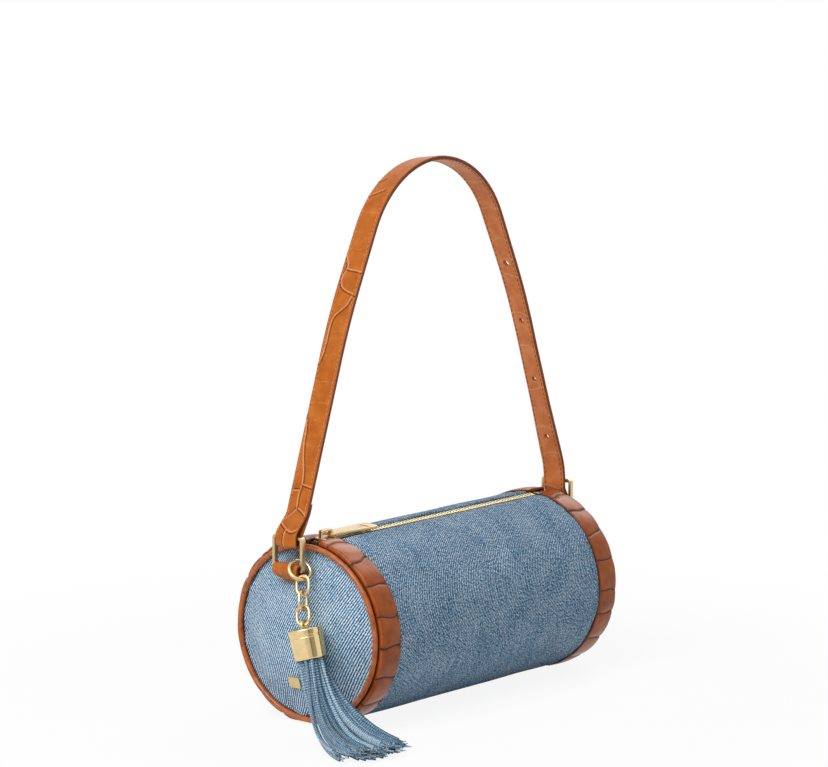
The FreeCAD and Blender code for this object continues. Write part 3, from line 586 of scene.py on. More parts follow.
def makePiping(name, side, node):
    fullA = np.linspace(0, 2 * pi, 361)[:, None]
    fullB = np.linspace(0, 2 * pi, 25)[None, :]
    a, b = fullA[:-1], fullB[:, :-1]
    u = a * piping["ring"] + 0 * b
    near = crocLines(u, 2.2 * np.sin(b) + 0 * a, pitch=17.0, seed=40 + side, bow=0.6, half=2.0)
    crease = bell(near, 0.4)
    tube = piping["tube"] * (1 + piping["lump"] * waves(u, 4 * b + 0 * a, 9, 17)) - piping["crease"] * crease
    r = piping["ring"] + tube * np.cos(b)
    x = side * (piping["x"] + tube * np.sin(b))
    points = np.stack([x, r * np.sin(a), barrel["axis"] + r * np.cos(a)], -1)
    points = np.concatenate([points, points[:1]])
    crease = np.concatenate([crease, crease[:1]])
    uv = np.stack(np.broadcast_arrays(fullA * piping["ring"], fullB * piping["tube"]), -1)
    obj = meshFromGrid(name, points, pipingHide, uv, "hide", closeAround=True, merge=True,
                       marks={"crease": crease * 0.8, "paint": 0 * crease})
    put(obj, "bag", "leather", node)


makeBarrel()
for make, piece, node in ((makeEndPanel, "DenimEnd", "_end_panel"), (makeBand, "LeatherBand", "_band"),
                          (makePiping, "PipingRing", "_piping")):
    for side, label in ends:
        make(label + piece, side, label + node)
print("stage: barrel, ends, bands and piping")


# strap and tabs: pairs are places in the XZ plane, the twist is degrees at a run from the top

strap = {"width": 16.5, "ply": 1.2, "knee": (86.84, 245.8), "shift": 2.0, "top": 337.9, "lean": 25.5,
         "kneeRadius": 400.0, "leftFoot": (-134.1, 119.3), "leftBend": (-124.0, 129.5),
         "rightFoot": (129.8, 126.0), "bendIn": (129.8, 113.0), "bendOut": (137.6, 101.0),
         "tailEnd": (137.6, 62.0), "footRadii": [48.0, 6.0, 6.0], "loopFoot": 112.15,
         "loopInner": (-129.9, 117.3), "lapTop": 136.65, "lapFoot": 131.0, "lapPlay": 0.05,
         "lapRadii": [4.0, 4.0, 0.945, 0.945, 6.0, 12.0], "liningStart": 132.5, "liningPlay": 0.03,
         "step": 0.6, "tip": 8.0, "stitchInset": 1.6, "turn": 1.1, "hub": 132.7,
         "twist": [(-260, 0), (-120, 2), (0, -7), (55, 0), (110, 6), (170, 10), (215, 8), (250, 0)]}
strapHoles = {"count": 4, "pitch": 41.7, "first": 23.0, "size": 3.2, "flare": 0.9, "deep": 12.0,
              "prongSpot": (131.8, 0, 104.5), "prongWay": (3.4, 0, 10.5), "prongReach": 3.0, "prongSize": 5.0}

# ridges left by the press on the left leg: run from the lap's end, and place across
ridges = [[(55.6, 0.2), (64, 1.2), (70, -0.3), (78, 0.8), (88, 4), (96, 5.5), (102, 5.5), (112, 7.8)],
          [(55.6, 0.2), (50, 4.5), (46, 8)], [(55.6, 0.2), (53, -5), (50, -8)], [(70, -0.5), (68.6, -8)],
          [(66.6, 1.5), (66, 8)], [(44, 8), (40.5, 3), (38.5, -1), (38, -5), (40.5, -8)],
          [(39, 1), (32, 2), (29, 1)],
          [(144, 8), (150, 5.2), (163, 4.7), (169, 5), (175, 4), (178.7, 0), (182.7, -4), (190, -6.2)],
          [(214.8, 8), (209, 4.5), (205.5, 4), (202, 6), (198, 6.4), (193.6, 4.2), (191.5, -0.3), (189.5, -8)],
          [(205.5, 4), (204.5, -8)], [(255, 8), (257.5, 2), (260.5, -2.5)], [(267, 8), (270.5, 4)]]
faintLines = [82, 94.5, 111, 121, 134.5, 151, 165, 219.8, 229.6, 243, 282, 291, 300]
farLegRun = 312

strapMatrix = turnedAbout((strap["hub"], 0, 0), radians(-strap["turn"]), "Z")


def onStrap(points):
    # the strap's line is turned a little about the buckle
    a = radians(-strap["turn"])
    p = np.array(points, float)
    dx, y = p[..., 0] - strap["hub"], p[..., 1]
    return np.stack([strap["hub"] + dx * cos(a) - y * sin(a), dx * sin(a) + y * cos(a), p[..., 2]], -1)


def turnWays(ways):
    return onStrap(np.asarray(ways) + (strap["hub"], 0, 0)) - (strap["hub"], 0, 0)


def routeFrames(points, radii, step):
    # places, left-hand normals and run along a bent line
    points = [np.array(p, float) for p in points]
    ways = [unit(b - a) for a, b in zip(points, points[1:])]
    spots, lefts = [], []

    def line(a, b, way):
        count = max(2, int(np.linalg.norm(b - a) / step) + 1)
        for k in range(count):
            spots.append(a + (b - a) * k / count)
            lefts.append(np.array([-way[1], way[0]]))

    start = points[0]
    for i, radius in enumerate(radii, 1):
        u, w = ways[i - 1], ways[i]
        cross = u[0] * w[1] - u[1] * w[0]
        if abs(cross) < 1e-6:
            continue
        turn = atan2(abs(cross), float(u @ w))
        back = radius * tan(turn / 2)
        enter = points[i] - u * back
        line(start, enter, u)
        sense = 1 if cross > 0 else -1
        n0 = np.array([-u[1], u[0]])
        centre = enter + n0 * sense * radius
        count = max(4, int(radius * turn / step) + 1)
        for k in range(count):
            a = sense * turn * k / count
            n = np.array([n0[0] * cos(a) - n0[1] * sin(a), n0[0] * sin(a) + n0[1] * cos(a)])
            spots.append(centre - n * sense * radius)
            lefts.append(n)
        start = points[i] + w * back
    line(start, points[-1], ways[-1])
    spots, lefts = np.array(spots + [points[-1]]), np.array(lefts + [lefts[-1]])
    return spots, lefts, runAlong(spots)


def twisted(v, h, twist):
    return v * np.cos(twist) - h * np.sin(twist), v * np.sin(twist) + h * np.cos(twist)


def makeStrip(name, route, width, low, high, material, field, halves, twist=0.0):
    # a leather strip with soft, painted edges; field gives lift and crease on its outer face
    spots, lefts, run = route
    half, bevel, nick = width / 2, 0.4, 0.12
    s = 1 if high > low else -1
    edge = [(half - nick, high - nick * s, 0, 0.6), (half, high - bevel * s, 0, 1),
            (half, low + bevel * s, 0, 1), (half - nick, low + nick * s, 0, 0.6)]
    outline = [(v, high, s, 0) for v in np.linspace(-half + bevel, half - bevel, 41)] + edge
    outline += [(v, low, 0, 0) for v in np.linspace(half - bevel, -half + bevel, 7)]
    outline += [(-v, h, face, paint) for v, h, face, paint in edge[::-1]]
    outline = np.array(outline)
    across, height, face, paint = outline.T
    u, v = run[:, None] + 0 * across, across + 0 * run[:, None]
    lift, crease = field(u, v)
    side = runAlong(outline[:, :2])
    uv = closedUv(u, side + 0 * u, side[-1] + 1.0)
    v, h = twisted(v * (halves / half)[:, None], height + lift * face, twist)
    x = spots[:, None, 0] + lefts[:, None, 0] * h
    z = spots[:, None, 1] + lefts[:, None, 1] * h
    points = onStrap(np.stack([x, v, z], -1))
    return meshFromGrid(name, points, material, uv, "hide", closeAround=True, caps=True,
                        marks={"crease": crease * np.abs(face), "paint": paint + 0 * u})


def roundedHalf(left, width, corner):
    # half the width of a strip, rounded off where little of its length is left
    left = left.clip(0, corner)
    return width / 2 - corner + np.sqrt((corner ** 2 - (corner - left) ** 2).clip(0)) + 0.02


def strapTwist(route):
    fromTop = route[2] - route[2][route[0][:, 1].argmax()]
    return np.radians(np.interp(fromTop, *zip(*strap["twist"])))


def archPoints():
    # the strap from its left foot to the tail's end, and the radii of its bends from the knee on
    half, kneeZ = strap["knee"]
    lean = radians(strap["lean"])
    apex = kneeZ + half / tan(lean)
    bow = (apex - strap["top"]) / (1 / sin(lean) - 1)
    middle = strap["shift"]
    points = [strap["leftFoot"], strap["leftBend"], (middle - half, kneeZ), (middle, apex),
              (middle + half, kneeZ), strap["rightFoot"], strap["bendIn"], strap["bendOut"], strap["tailEnd"]]
    return points, [strap["kneeRadius"], bow, strap["kneeRadius"]] + strap["footRadii"]


def legPoint(z, gap):
    # on the left leg's line, or on a line beside it
    (x0, z0), (x1, z1) = strap["leftBend"], (strap["shift"] - strap["knee"][0], strap["knee"][1])
    slope = (x1 - x0) / (z1 - z0)
    return x0 + slope * (z - z0) + gap * hypot(1, slope), z


def lineGap(u, v, line):
    # signed distance to a bent line with its corners cut
    for _ in range(2):
        cut = [line[0]]
        for a, b in zip(line, line[1:]):
            cut += [tuple(p * (1 - share) + q * share for p, q in zip(a, b)) for share in (0.25, 0.75)]
        line = cut + [line[-1]]
    best, side = np.full(u.shape, 1e9), np.ones(u.shape)
    for (u0, v0), (u1, v1) in zip(line, line[1:]):
        du, dv = u1 - u0, v1 - v0
        t = (((u - u0) * du + (v - v0) * dv) / (du * du + dv * dv)).clip(0, 1)
        gapU, gapV = u - u0 - t * du, v - v0 - t * dv
        gap = np.hypot(gapU, gapV)
        side = np.where(gap < best, du * gapV - dv * gapU, side)
        best = np.minimum(best, gap)
    return np.where(side < 0, -best, best)


def crown(v):
    return 1 - (v / (strap["width"] / 2)) ** 2


def strapScales(u, v):
    # raised ridges with painted shade on one side and a painted highlight on top, faint cross lines with a
    # painted highlight, and shallow dark lines on the far leg
    lift, dark, pale = 0 * u, 0 * u, 0 * u
    for line in ridges:
        runs = [p[0] for p in line]
        rows = (u[:, 0] > min(runs) - 6) & (u[:, 0] < max(runs) + 6)
        near = np.full(u.shape, 99.0)
        near[rows] = lineGap(u[rows], v[rows], line)
        # painted highlight on the ridge's top, painted shade at its foot on one side
        top, foot = bell(near - 0.25, 0.5), bell(near + 0.7, 0.55)
        lift = np.maximum(lift, 0.6 * top) - 0.3 * foot
        dark, pale = np.maximum(dark, foot), np.maximum(pale, top)
    # faint raised cross lines, with a painted highlight along them
    for place in faintLines:
        near = u - place + 0.9 * waves(0 * u, v, int(place), 15) + 0.05 * v
        fine = bell(near, 0.35) * (np.abs(v) < 6.4)
        lift, pale = lift + 0.12 * fine, np.maximum(pale, 0.55 * fine)
    far = crocLines(u, v, pitch=17.0, seed=71, bow=1.6, half=7.0)
    late = 1 / (1 + np.exp(-(u - farLegRun) / 4))
    dark = np.maximum(dark, 0.8 * late * bell(far, 0.45))
    sewn = bell(np.abs(v) - strap["width"] / 2 + strap["stitchInset"], 0.4)
    lift = lift - 0.3 * late * bell(far, 0.5) + 0.18 * crown(v) - 0.12 * sewn
    return lift, np.where(dark > pale, dark, -pale)


def liningLines(u, v):
    # creases across the inner face, raised, with a painted highlight along them
    fine = bell(crocLines(u, v, pitch=24.0, seed=83, bow=0.8, half=8.0), 0.4)
    return 0.15 * fine + 0.1 * crown(v), -0.9 * fine


def strapHoleCutter():
    # flared adjusting holes, and the hole that the prong goes through
    foot = Vector((strap["rightFoot"][0], 0, strap["rightFoot"][1]))
    knee = Vector((strap["shift"] + strap["knee"][0], 0, strap["knee"][1]))
    up = (knee - foot).normalized()
    across = Vector((up.z, 0, -up.x))
    prong = Vector(strapHoles["prongWay"]).normalized()
    spots = [(foot + up * (strapHoles["first"] + strapHoles["pitch"] * k), across, strapHoles["size"],
              strapHoles["flare"]) for k in range(strapHoles["count"])]
    spots.append((Vector(strapHoles["prongSpot"]) + prong * strapHoles["prongReach"], prong,
                  strapHoles["prongSize"], 0.0))
    bm = bmesh.new()
    for spot, way, size, flare in spots:
        turn = Vector((0, 0, 1)).rotation_difference(way).to_matrix().to_4x4()
        wide = size / 2 + flare / 3
        bmesh.ops.create_cone(bm, cap_ends=True, segments=24, radius1=(wide + flare) * mm,
                              radius2=(wide - flare) * mm, depth=strapHoles["deep"] * mm,
                              matrix=Matrix.Translation(spot * mm) @ turn)
    bmesh.ops.transform(bm, matrix=strapMatrix, verts=bm.verts)
    return fromBmesh("strapHoleCutter", bm)


arch, archRadii = archPoints()
lapGap = strap["ply"] + strap["lapPlay"]
lap = [legPoint(strap["lapTop"], lapGap), legPoint(strap["lapFoot"], lapGap), strap["loopInner"],
       (strap["loopInner"][0], strap["loopFoot"]), (strap["leftFoot"][0], strap["loopFoot"])]
outerRoute = routeFrames(lap + arch, strap["lapRadii"] + archRadii, strap["step"])
liningRoute = routeFrames([legPoint(strap["liningStart"], 0)] + arch[2:], archRadii, strap["step"])

holes = strapHoleCutter()
for name, route, low, high, finish, field, slotName, node in (
        ("strapOuterPly", outerRoute, 0.0, strap["ply"], strapHide, strapScales, "leather", "strap_outer"),
        ("strapLiningPly", liningRoute, -strap["liningPlay"], -strap["ply"], liningHide, liningLines,
         "strap_lining", "strap_lining")):
    halves = roundedHalf(route[2][-1] - route[2], strap["width"], strap["tip"])
    ply = makeStrip(name, route, strap["width"], low, high, finish, field, halves, strapTwist(route)[:, None])
    cutWith(ply, holes)
    put(ply, "strap", slotName, node)
bpy.data.objects.remove(holes)
print("stage: strap")

tab = {"width": 19.6, "half": 0.75, "corner": 6.0, "step": 0.5,
       "left": [(128.391, 89.5), (128.25, 91.0), (128.25, 100.1), (135.75, 100.1), (135.75, 95.5),
                (130.041, 91.0), (130.041, 89.5)],
       "leftRadii": [1.2, 2.4, 2.4, 1.2, 1.2],
       "right": [(130.264, 83.5), (130.15, 90.0), (130.15, 95.0), (130.15, 99.55), (135.25, 99.55),
                 (135.25, 95.0), (131.914, 90.0), (131.914, 83.5)],
       "rightRadii": [1.2, 1.2, 1.44, 1.44, 1.2, 1.2], "bendX": 131.0, "bendFrom": {-1: 89.0, 1: 86.0},
       "bendTo": 98.0, "fork": (20.0, 3.6, 14.0), "forkHeight": 100.0}


def tabScales(u, v):
    near = crocLines(u, v, pitch=12.0, seed=91, bow=1.5, half=9.0)
    crease = 0.7 * bell(near, 0.5)
    return 0.12 * (1 - bell(near, 2.5)) - 0.3 * crease, crease


def bendTab(obj, side):
    x, low, high = side * tab["bendX"] * mm, tab["bendFrom"][side] * mm, tab["bendTo"] * mm
    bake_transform(obj)


def cutFork(obj):
    # the slot that the buckle's prong turns in
    spot = Matrix.Translation(Vector((strap["hub"], 0, tab["forkHeight"])) * mm)
    bm = bmesh.new()
    bmesh.ops.create_cube(bm, size=mm, matrix=strapMatrix @ spot @ Matrix.Diagonal((*tab["fork"], 1)))
    cutter = fromBmesh("forkCutter", bm)
    cutWith(obj, cutter)
    bpy.data.objects.remove(cutter)


tabRoutes = {}
for side, label in ends:
    spots, lefts, run = routeFrames(tab[label], tab[label + "Radii"], tab["step"])
    tabRoutes[side] = spots * (side, 1), lefts * (side, 1), run
    piece = makeStrip(label + "LeatherTab", tabRoutes[side], tab["width"], -tab["half"], tab["half"], strapHide,
                      tabScales, roundedHalf(spots[:, 1] - spots[0, 1], tab["width"], tab["corner"]))
    if side > 0:
        cutFork(piece)
    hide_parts(label + "_tab")
    bendTab(piece, side)
print("stage: tabs")


# metal pieces keep the CAD shape, with softened edges: node, body and bevel

metal = {
    "zipSlider": ("zipper_slider", "zipper_slider", 0.22),
    "zipPull": ("zipper_pull", "zipper_pull", 0.3),
    "zipStops": ("zipper_stops", "bag", 0.12),
    "blankPlate": ("end_plate", "bag", 0.18),
    "strapRing": ("strap_ring", "strap_ring", 0.8),
    "buckleFrame": ("buckle_frame", "strap", 0.6),
    "bucklePin": ("buckle_prong", "buckle_prong", 0.45),
}


def softCopy(name, node, body, bevel, material=goldSatin, slotName="gold_metal"):
    mesh = nodes[node].data.copy()
    mesh.name = name
    bm = bmesh.new()
    bm.from_mesh(mesh)
    bmesh.ops.remove_doubles(bm, verts=bm.verts, dist=1e-6)
    bmesh.ops.dissolve_limit(bm, angle_limit=radians(1.0), verts=bm.verts, edges=bm.edges)
    bm.to_mesh(mesh)
    bm.free()
    mesh.materials.clear()
    mesh.materials.append(material)
    obj = addObject(name, mesh)
    soft = obj.modifiers.new("soft", "BEVEL")
    soft.width = bevel * mm
    soft.segments = 3
    soft.limit_method = "ANGLE"
    soft.angle_limit = radians(35)
    settle(obj)
    shadeSmooth(obj)
    obj.data.set_sharp_from_angle(angle=radians(38))
    put(obj, body, slotName, node)


for name, (node, body, bevel) in metal.items():
    softCopy(name, node, body, bevel)
softCopy("strapKeeper", "strap_keeper", "strap", 0.35, crocHide, "leather")
for node, finish in (("zipper_tape_front", zipTape), ("zipper_tape_back", zipTape), ("lining", innerCloth),
                     ("left_piping_cord", cottonCord), ("right_piping_cord", cottonCord),
                     ("tassel_binding", cottonCord)):
    nodes[node].data.materials.clear()
    nodes[node].data.materials.append(finish)
print("stage: metal")


# round wire pieces: the tassel's ring, links and bail, and the turned cap

chain = {"hoopCentre": (-134.6, -11.15, 98.347), "hoopRadius": 6.8, "hoopWire": 2.1, "hoopTurn": 26.0,
         "hoopTilt": 42.0, "hoopFoot": (-136.5946, -15.2396, 93.2932), "lean": 16.5, "tilt": 15.5,
         "linkLength": 13.6, "linkWidth": 10.6, "linkWire": 2.0, "linkPlay": 0.35, "linkTurn": 12.0,
         "sides": 16}
cap = {"axis": (-143.794, -15.240), "radius": 10.8, "top": 64.487, "height": 18.4, "wall": 0.9,
       "grooveDrop": 4.0, "grooveWidth": 1.0, "grooveDepth": 0.4, "round": 0.9, "taper": 0.1, "bailBend": 3.0,
       "bailTop": 65.987, "bailFoot": 60.59}


def hung(points):
    # the chain leans to the front where it hangs on the ring
    a = radians(-chain["tilt"])
    x, y, z = np.moveaxis(np.asarray(points) - chain["hoopFoot"], -1, 0)
    return onStrap(np.stack([x, y * cos(a) - z * sin(a), y * sin(a) + z * cos(a)], -1) + chain["hoopFoot"])


def makeWire(name, path, normal, wire, closed, body, node, place):
    # round wire along a flat path; normal is the direction square to its plane
    ahead = np.roll(path, -1, 0) - np.roll(path, 1, 0)
    if not closed:
        ahead[0], ahead[-1] = path[1] - path[0], path[-1] - path[-2]
    ahead /= np.linalg.norm(ahead, axis=1)[:, None]
    side = np.cross(normal, ahead)
    b = np.linspace(0, 2 * pi, chain["sides"] + 1)[:-1, None]
    points = place(path[:, None] + (np.cos(b) * side[:, None] + np.sin(b) * normal) * wire / 2)
    if closed:
        points = np.concatenate([points, points[:1]])
    obj = meshFromGrid(name, points, goldSatin, closeAround=True, caps=not closed, merge=closed)
    put(obj, body, "gold_metal", node)


def linkPath():
    bend = (chain["linkWidth"] - chain["linkWire"]) / 2
    half = (chain["linkLength"] - chain["linkWidth"]) / 2
    a = np.linspace(0, pi, 25)
    top = np.stack([bend * np.cos(a), half + bend * np.sin(a)], -1)
    return np.concatenate([top, -top])


def makeChain():
    turn, tilt = radians(chain["hoopTurn"]), radians(chain["hoopTilt"])
    side = np.array([cos(turn), -sin(turn), 0])
    up = np.array([sin(turn) * sin(tilt), cos(turn) * sin(tilt), cos(tilt)])
    a = np.linspace(0, 2 * pi, 97)[:-1, None]
    hoop = chain["hoopCentre"] + chain["hoopRadius"] * (np.cos(a) * side + np.sin(a) * up)
    makeWire("tasselHoop", hoop, np.cross(side, up), chain["hoopWire"], True, "tassel_ring", "tassel_ring",
             onStrap)
    lean = radians(chain["lean"])
    down = np.array([-sin(lean), 0, -cos(lean)])
    wire, play = chain["linkWire"], chain["linkPlay"]
    first = chain["hoopFoot"] + down * (chain["linkLength"] / 2 - chain["hoopWire"] / 2 - play - wire)
    step = chain["linkLength"] - 2 * wire - play
    flat = linkPath()
    for k, label in enumerate(("Top", "Middle", "Low")):
        turn = radians(chain["linkTurn"] + (90 if k == 1 else 0))
        wide = np.array([-sin(turn) * cos(lean), cos(turn), sin(turn) * sin(lean)])
        path = first + down * step * k + flat[:, :1] * wide - flat[:, 1:] * down
        node = "chain_link_%d" % (k + 1)
        makeWire("chainLink" + label, path, np.cross(wide, -down), wire, True, node, node, hung)
    a = np.linspace(0, pi, 25)
    bend, foot = cap["bailBend"], cap["bailFoot"]
    turn = radians(chain["linkTurn"])
    wide = np.array([cos(turn), sin(turn), 0.0])
    reach = np.concatenate([[bend], bend * np.cos(a), [-bend]])
    rise = np.concatenate([[foot], cap["bailTop"] + bend * np.sin(a), [foot]])
    path = reach[:, None] * wide + rise[:, None] * np.array([0, 0, 1.0]) + (*cap["axis"], 0)
    makeWire("tasselBail", path, np.array([-wide[1], wide[0], 0]), wire, False, "tassel", "tassel_bail", hung)


def makeCap():
    # turned metal cap, hollow below
    r, top, edge = cap["radius"], cap["top"], cap["round"]
    foot, waist, bore = top - cap["height"], r - cap["grooveDepth"], r - cap["wall"]
    g0 = top - cap["grooveDrop"]
    g1 = g0 - cap["grooveWidth"]
    shoulder = [(r - edge + edge * sin(a), top - edge + edge * cos(a)) for a in np.linspace(0, pi / 2, 9)]
    groove = [(r, g0 + 0.5), (r, g0 + 0.12), (r - 0.1, g0), (waist, g0 - 0.05), (waist, g1 + 0.05),
              (r - 0.1, g1), (r, g1 - 0.12), (r, g1 - 0.6)]
    lip = [(r, foot + 0.8), (r, foot + 0.25), (r - 0.2, foot), (r - 0.7, foot), (bore, foot + 0.2)]
    inside = [(bore, foot + 1.0), (bore, top - 2.0), (r - 2.0, top - 1.0), (0.02, top - 1.0)]
    outline = np.array([(0.02, top), (4.0, top), (8.0, top)] + shoulder + groove + lip + inside)
    height = outline[:, 1:]
    reach = outline[:, :1] * (1 - cap["taper"] * (top - height) / cap["height"])
    a = np.linspace(0, 2 * pi, 129)[None, :-1]
    x, y = cap["axis"][0] + reach * np.cos(a), cap["axis"][1] + reach * np.sin(a)
    obj = meshFromGrid("tasselCap", hung(np.stack([x, y, height + 0 * a], -1)), goldTurnedPaintedBright, closeAround=True,
                       caps=True)
    obj.data.set_sharp_from_angle(angle=radians(50))
    put(obj, "tassel", "gold_metal", "tassel_cap")


makeChain()
makeCap()
print("stage: chain and cap")


# repeated pieces from geometry nodes


def newTree(name, **inputs):
    tree = bpy.data.node_groups.new(name, "GeometryNodeTree")
    for label, kind in {"Geometry": "Geometry", **inputs}.items():
        tree.interface.new_socket(label, in_out="INPUT", socket_type="NodeSocket" + kind)
    tree.interface.new_socket("Geometry", in_out="OUTPUT", socket_type="NodeSocketGeometry")
    t = Tree(tree)
    return t, t.get("NodeGroupInput")


def closeTree(t, geometry, material):
    solid = t.get("GeometryNodeRealizeInstances", {}, {"Geometry": geometry})
    painted = t.get("GeometryNodeSetMaterial", {}, {"Geometry": solid, "Material": material})
    t.get("NodeGroupOutput", {}, {0: painted})
    return t


def runTree(obj, t, **values):
    grow = obj.modifiers.new("grow", "NODES")
    grow.node_group = t.tree
    for item in t.tree.interface.items_tree:
        if item.in_out == "INPUT" and item.name in values:
            grow[item.identifier] = values[item.name]
    settle(obj)
    shadeSmooth(obj)
    return obj


def lineObject(name, lines, **marks):
    # lines are pairs of places and facing directions, in mm; a mark has a value for each place
    verts, edges, facing = [], [], []
    for places, faces in lines:
        first = len(verts)
        verts += (places * mm).tolist()
        facing += faces.tolist()
        edges += [(first + k, first + k + 1) for k in range(len(places) - 1)]
    mesh = bpy.data.meshes.new(name)
    mesh.from_pydata(verts, edges, [])
    for mark, values in marks.items():
        mesh.attributes.new(mark, "FLOAT", "POINT").data.foreach_set("value", values.astype(np.float32))
    layer = mesh.attributes.new("facing", "FLOAT_VECTOR", "POINT")
    layer.data.foreach_set("vector", np.array(facing, np.float32).ravel())
    return addObject(name, mesh)


def facingMark(t):
    return t.get("GeometryNodeInputNamedAttribute", {"data_type": "FLOAT_VECTOR"}, {"Name": "facing"})


def stitchTree():
    t, start = newTree("stitchRows", Pitch="Float", Length="Float", Thickness="Float", Thread="Material")
    curve = t.get("GeometryNodeMeshToCurve", {}, {"Mesh": start.of("Geometry")})
    curve = t.get("GeometryNodeResampleCurve", {"mode": "LENGTH"},
                  {"Curve": curve, "Length": start.of("Pitch")})
    bead = t.get("GeometryNodeMeshUVSphere", {}, {"Segments": 6, "Rings": 4, "Radius": 0.5})
    thick = start.of("Thickness")
    size = t.get("ShaderNodeCombineXYZ", {}, {"X": start.of("Length"), "Y": thick, "Z": thick})
    bead = t.get("GeometryNodeTransform", {}, {"Geometry": bead, "Scale": size})
    turn = t.get("FunctionNodeAxesToRotation", {"primary_axis": "X", "secondary_axis": "Z"},
                 {"Primary Axis": t.get("GeometryNodeInputTangent"), "Secondary Axis": facingMark(t)})
    rows = t.get("GeometryNodeInstanceOnPoints", {}, {"Points": curve, "Instance": bead, "Rotation": turn})
    return closeTree(t, rows, start.of("Thread"))


# cover is a stitch's share of its pitch; each row has its pitch and thickness
stitching = {"cover": 2.9 / 3.6, "strap": (2.8, 0.5), "lining": (3.4, 0.6), "tabs": (2.6, 0.6),
             "bands": (2.4, 0.5), "hems": (3.2, 0.6), "tabInset": 2.2, "bandInset": 1.4}
stitchRows = stitchTree()


def makeStitches(name, lines, thread, row):
    pitch, thickness = stitching[row]
    return runTree(lineObject(name, lines), stitchRows, Pitch=pitch * mm,
                   Length=pitch * stitching["cover"] * mm, Thickness=thickness * mm, Thread=thread)


def stripLine(route, v, h, first, last, twist=None):
    # a line along a strip: place across, height over its middle, and what stays bare at both ends
    spots, lefts, run = route
    keep = (run >= first) & (run <= run[-1] - last)
    s, n = spots[keep], lefts[keep]
    sense = 1 if h > 0 else -1
    v, h = twisted(v, h, 0 * run[keep] if twist is None else twist[keep])
    places = np.stack([s[:, 0] + n[:, 0] * h, v, s[:, 1] + n[:, 1] * h], -1)
    faces = np.stack([n[:, 0] * sense, 0 * n[:, 0], n[:, 1] * sense], -1)
    return onStrap(places), turnWays(faces)


edgeRow = strap["width"] / 2 - strap["stitchInset"]
for name, route, height, first, thread, row, slotName in (
        ("strapStitching", outerRoute, strap["ply"] + 0.04, 44.0, tanThread, "strap", "leather"),
        ("liningStitching", liningRoute, -strap["ply"] - 0.02, 16.0, darkThread, "lining", "strap_lining")):
    rows = [stripLine(route, side * edgeRow, height, first, 8.0, strapTwist(route)) for side in (-1, 1)]
    put(makeStitches(name, rows, thread, row), "strap", slotName)

for side, label in ends:
    route = tabRoutes[side]
    length, height = route[2][-1], tab["half"] + 0.02
    inset = tab["width"] / 2 - stitching["tabInset"]
    rows = [stripLine(route, s * inset, height, length - 10.5, 4.0) for s in (-1, 1)]
    places, faces = stripLine(route, 0, height, length - 3.6, 2.2)
    across = np.linspace(-inset + 2.5, inset - 2.5, 12)[:, None]
    rows.append((places[len(places) // 2] + across * (0, 1, 0), faces[:1] + 0 * across))
    piece = makeStitches(label + "TabStitching", rows, tanThread, "tabs")
    bendTab(piece, side)

bandRows, hemRows = [], []
turnStart = (barrel["zipGap"] / 2 + 3.0) / barrel["bandRadius"]
angles = np.linspace(turnStart, 2 * pi - turnStart, 300)
along = np.linspace(-bandEdge + 2.0, bandEdge - 2.0, 200)
hemTurn = (barrel["zipGap"] / 2 + barrel["hem"] - barrel["hemStitch"]) / barrel["radius"]
for side in (-1, 1):
    x = side * (bandEdge + stitching["bandInset"])
    bandRows.append((roundPoint(x, barrel["bandRadius"] + 0.3, angles, 0.3), roundWay(angles)))
    hemAngles = side * hemTurn + 0 * along
    hemRows.append((roundPoint(along, barrel["radius"] + 0.12, hemAngles, 0), roundWay(hemAngles)))
put(makeStitches("bandStitching", bandRows, darkThread, "bands"), "bag", "leather")
put(makeStitches("hemStitching", hemRows, blueThread, "hems"), "bag", "denim")
print("stage: stitching")

zipTeeth = {"pitch": 3.0, "count": 68, "length": 1.2, "reach": 0.7, "depth": 3.0, "half": 1.3, "head": 0.7,
            "shoulder": 0.5, "height": 112.0, "first": -102.0, "bevel": 0.18}


def teethTree():
    t, start = newTree("zipRow", Count="Int", Pitch="Float", Metal="Material")
    step = t.get("ShaderNodeCombineXYZ", {}, {"X": start.of("Pitch")})
    line = t.get("GeometryNodeMeshLine", {"mode": "OFFSET"}, {"Count": start.of("Count"), "Offset": step})
    row = t.get("GeometryNodeInstanceOnPoints", {}, {"Points": line, "Instance": start.of("Geometry")})
    return closeTree(t, row, start.of("Metal"))


def makeTeeth(name, side, node, tree):
    # one bevelled tooth, drawn at the row's first place and repeated
    z = zipTeeth
    upper = [(-z["reach"], z["head"]), (z["shoulder"], z["half"]), (z["depth"], z["half"])]
    outline = upper + [(y, -h) for y, h in upper[::-1]]
    roll = turnedAbout((0, 0, barrel["axis"]), zipRoll, "X")
    first = z["first"] + (z["pitch"] / 2 if side > 0 else 0)
    bm = bmesh.new()
    front, back = [[bm.verts.new(roll @ (Vector((x, side * y, z["height"] + h)) * mm)) for y, h in outline]
                   for x in (first, first + z["length"])]
    bm.faces.new(front)
    bm.faces.new(back[::-1])
    for k in range(len(outline)):
        after = (k + 1) % len(outline)
        bm.faces.new((front[k], back[k], back[after], front[after]))
    bmesh.ops.recalc_face_normals(bm, faces=bm.faces)
    rims = [e for e in bm.edges if abs(e.verts[0].co.x - e.verts[1].co.x) < 1e-6]
    bmesh.ops.bevel(bm, geom=rims, offset=z["bevel"] * mm, segments=1, affect="EDGES")
    obj = runTree(fromBmesh(name, bm), tree, Count=z["count"], Pitch=z["pitch"] * mm, Metal=goldTeeth)
    obj.data.set_sharp_from_angle(angle=radians(25))
    put(obj, "bag", "gold_metal", node)


rowTree = teethTree()
makeTeeth("frontZipTeeth", -1, "zipper_teeth_front", rowTree)
makeTeeth("backZipTeeth", 1, "zipper_teeth_back", rowTree)
print("stage: zip")


# tassel fringe: knitted strands that bend to the front and fan out on the table

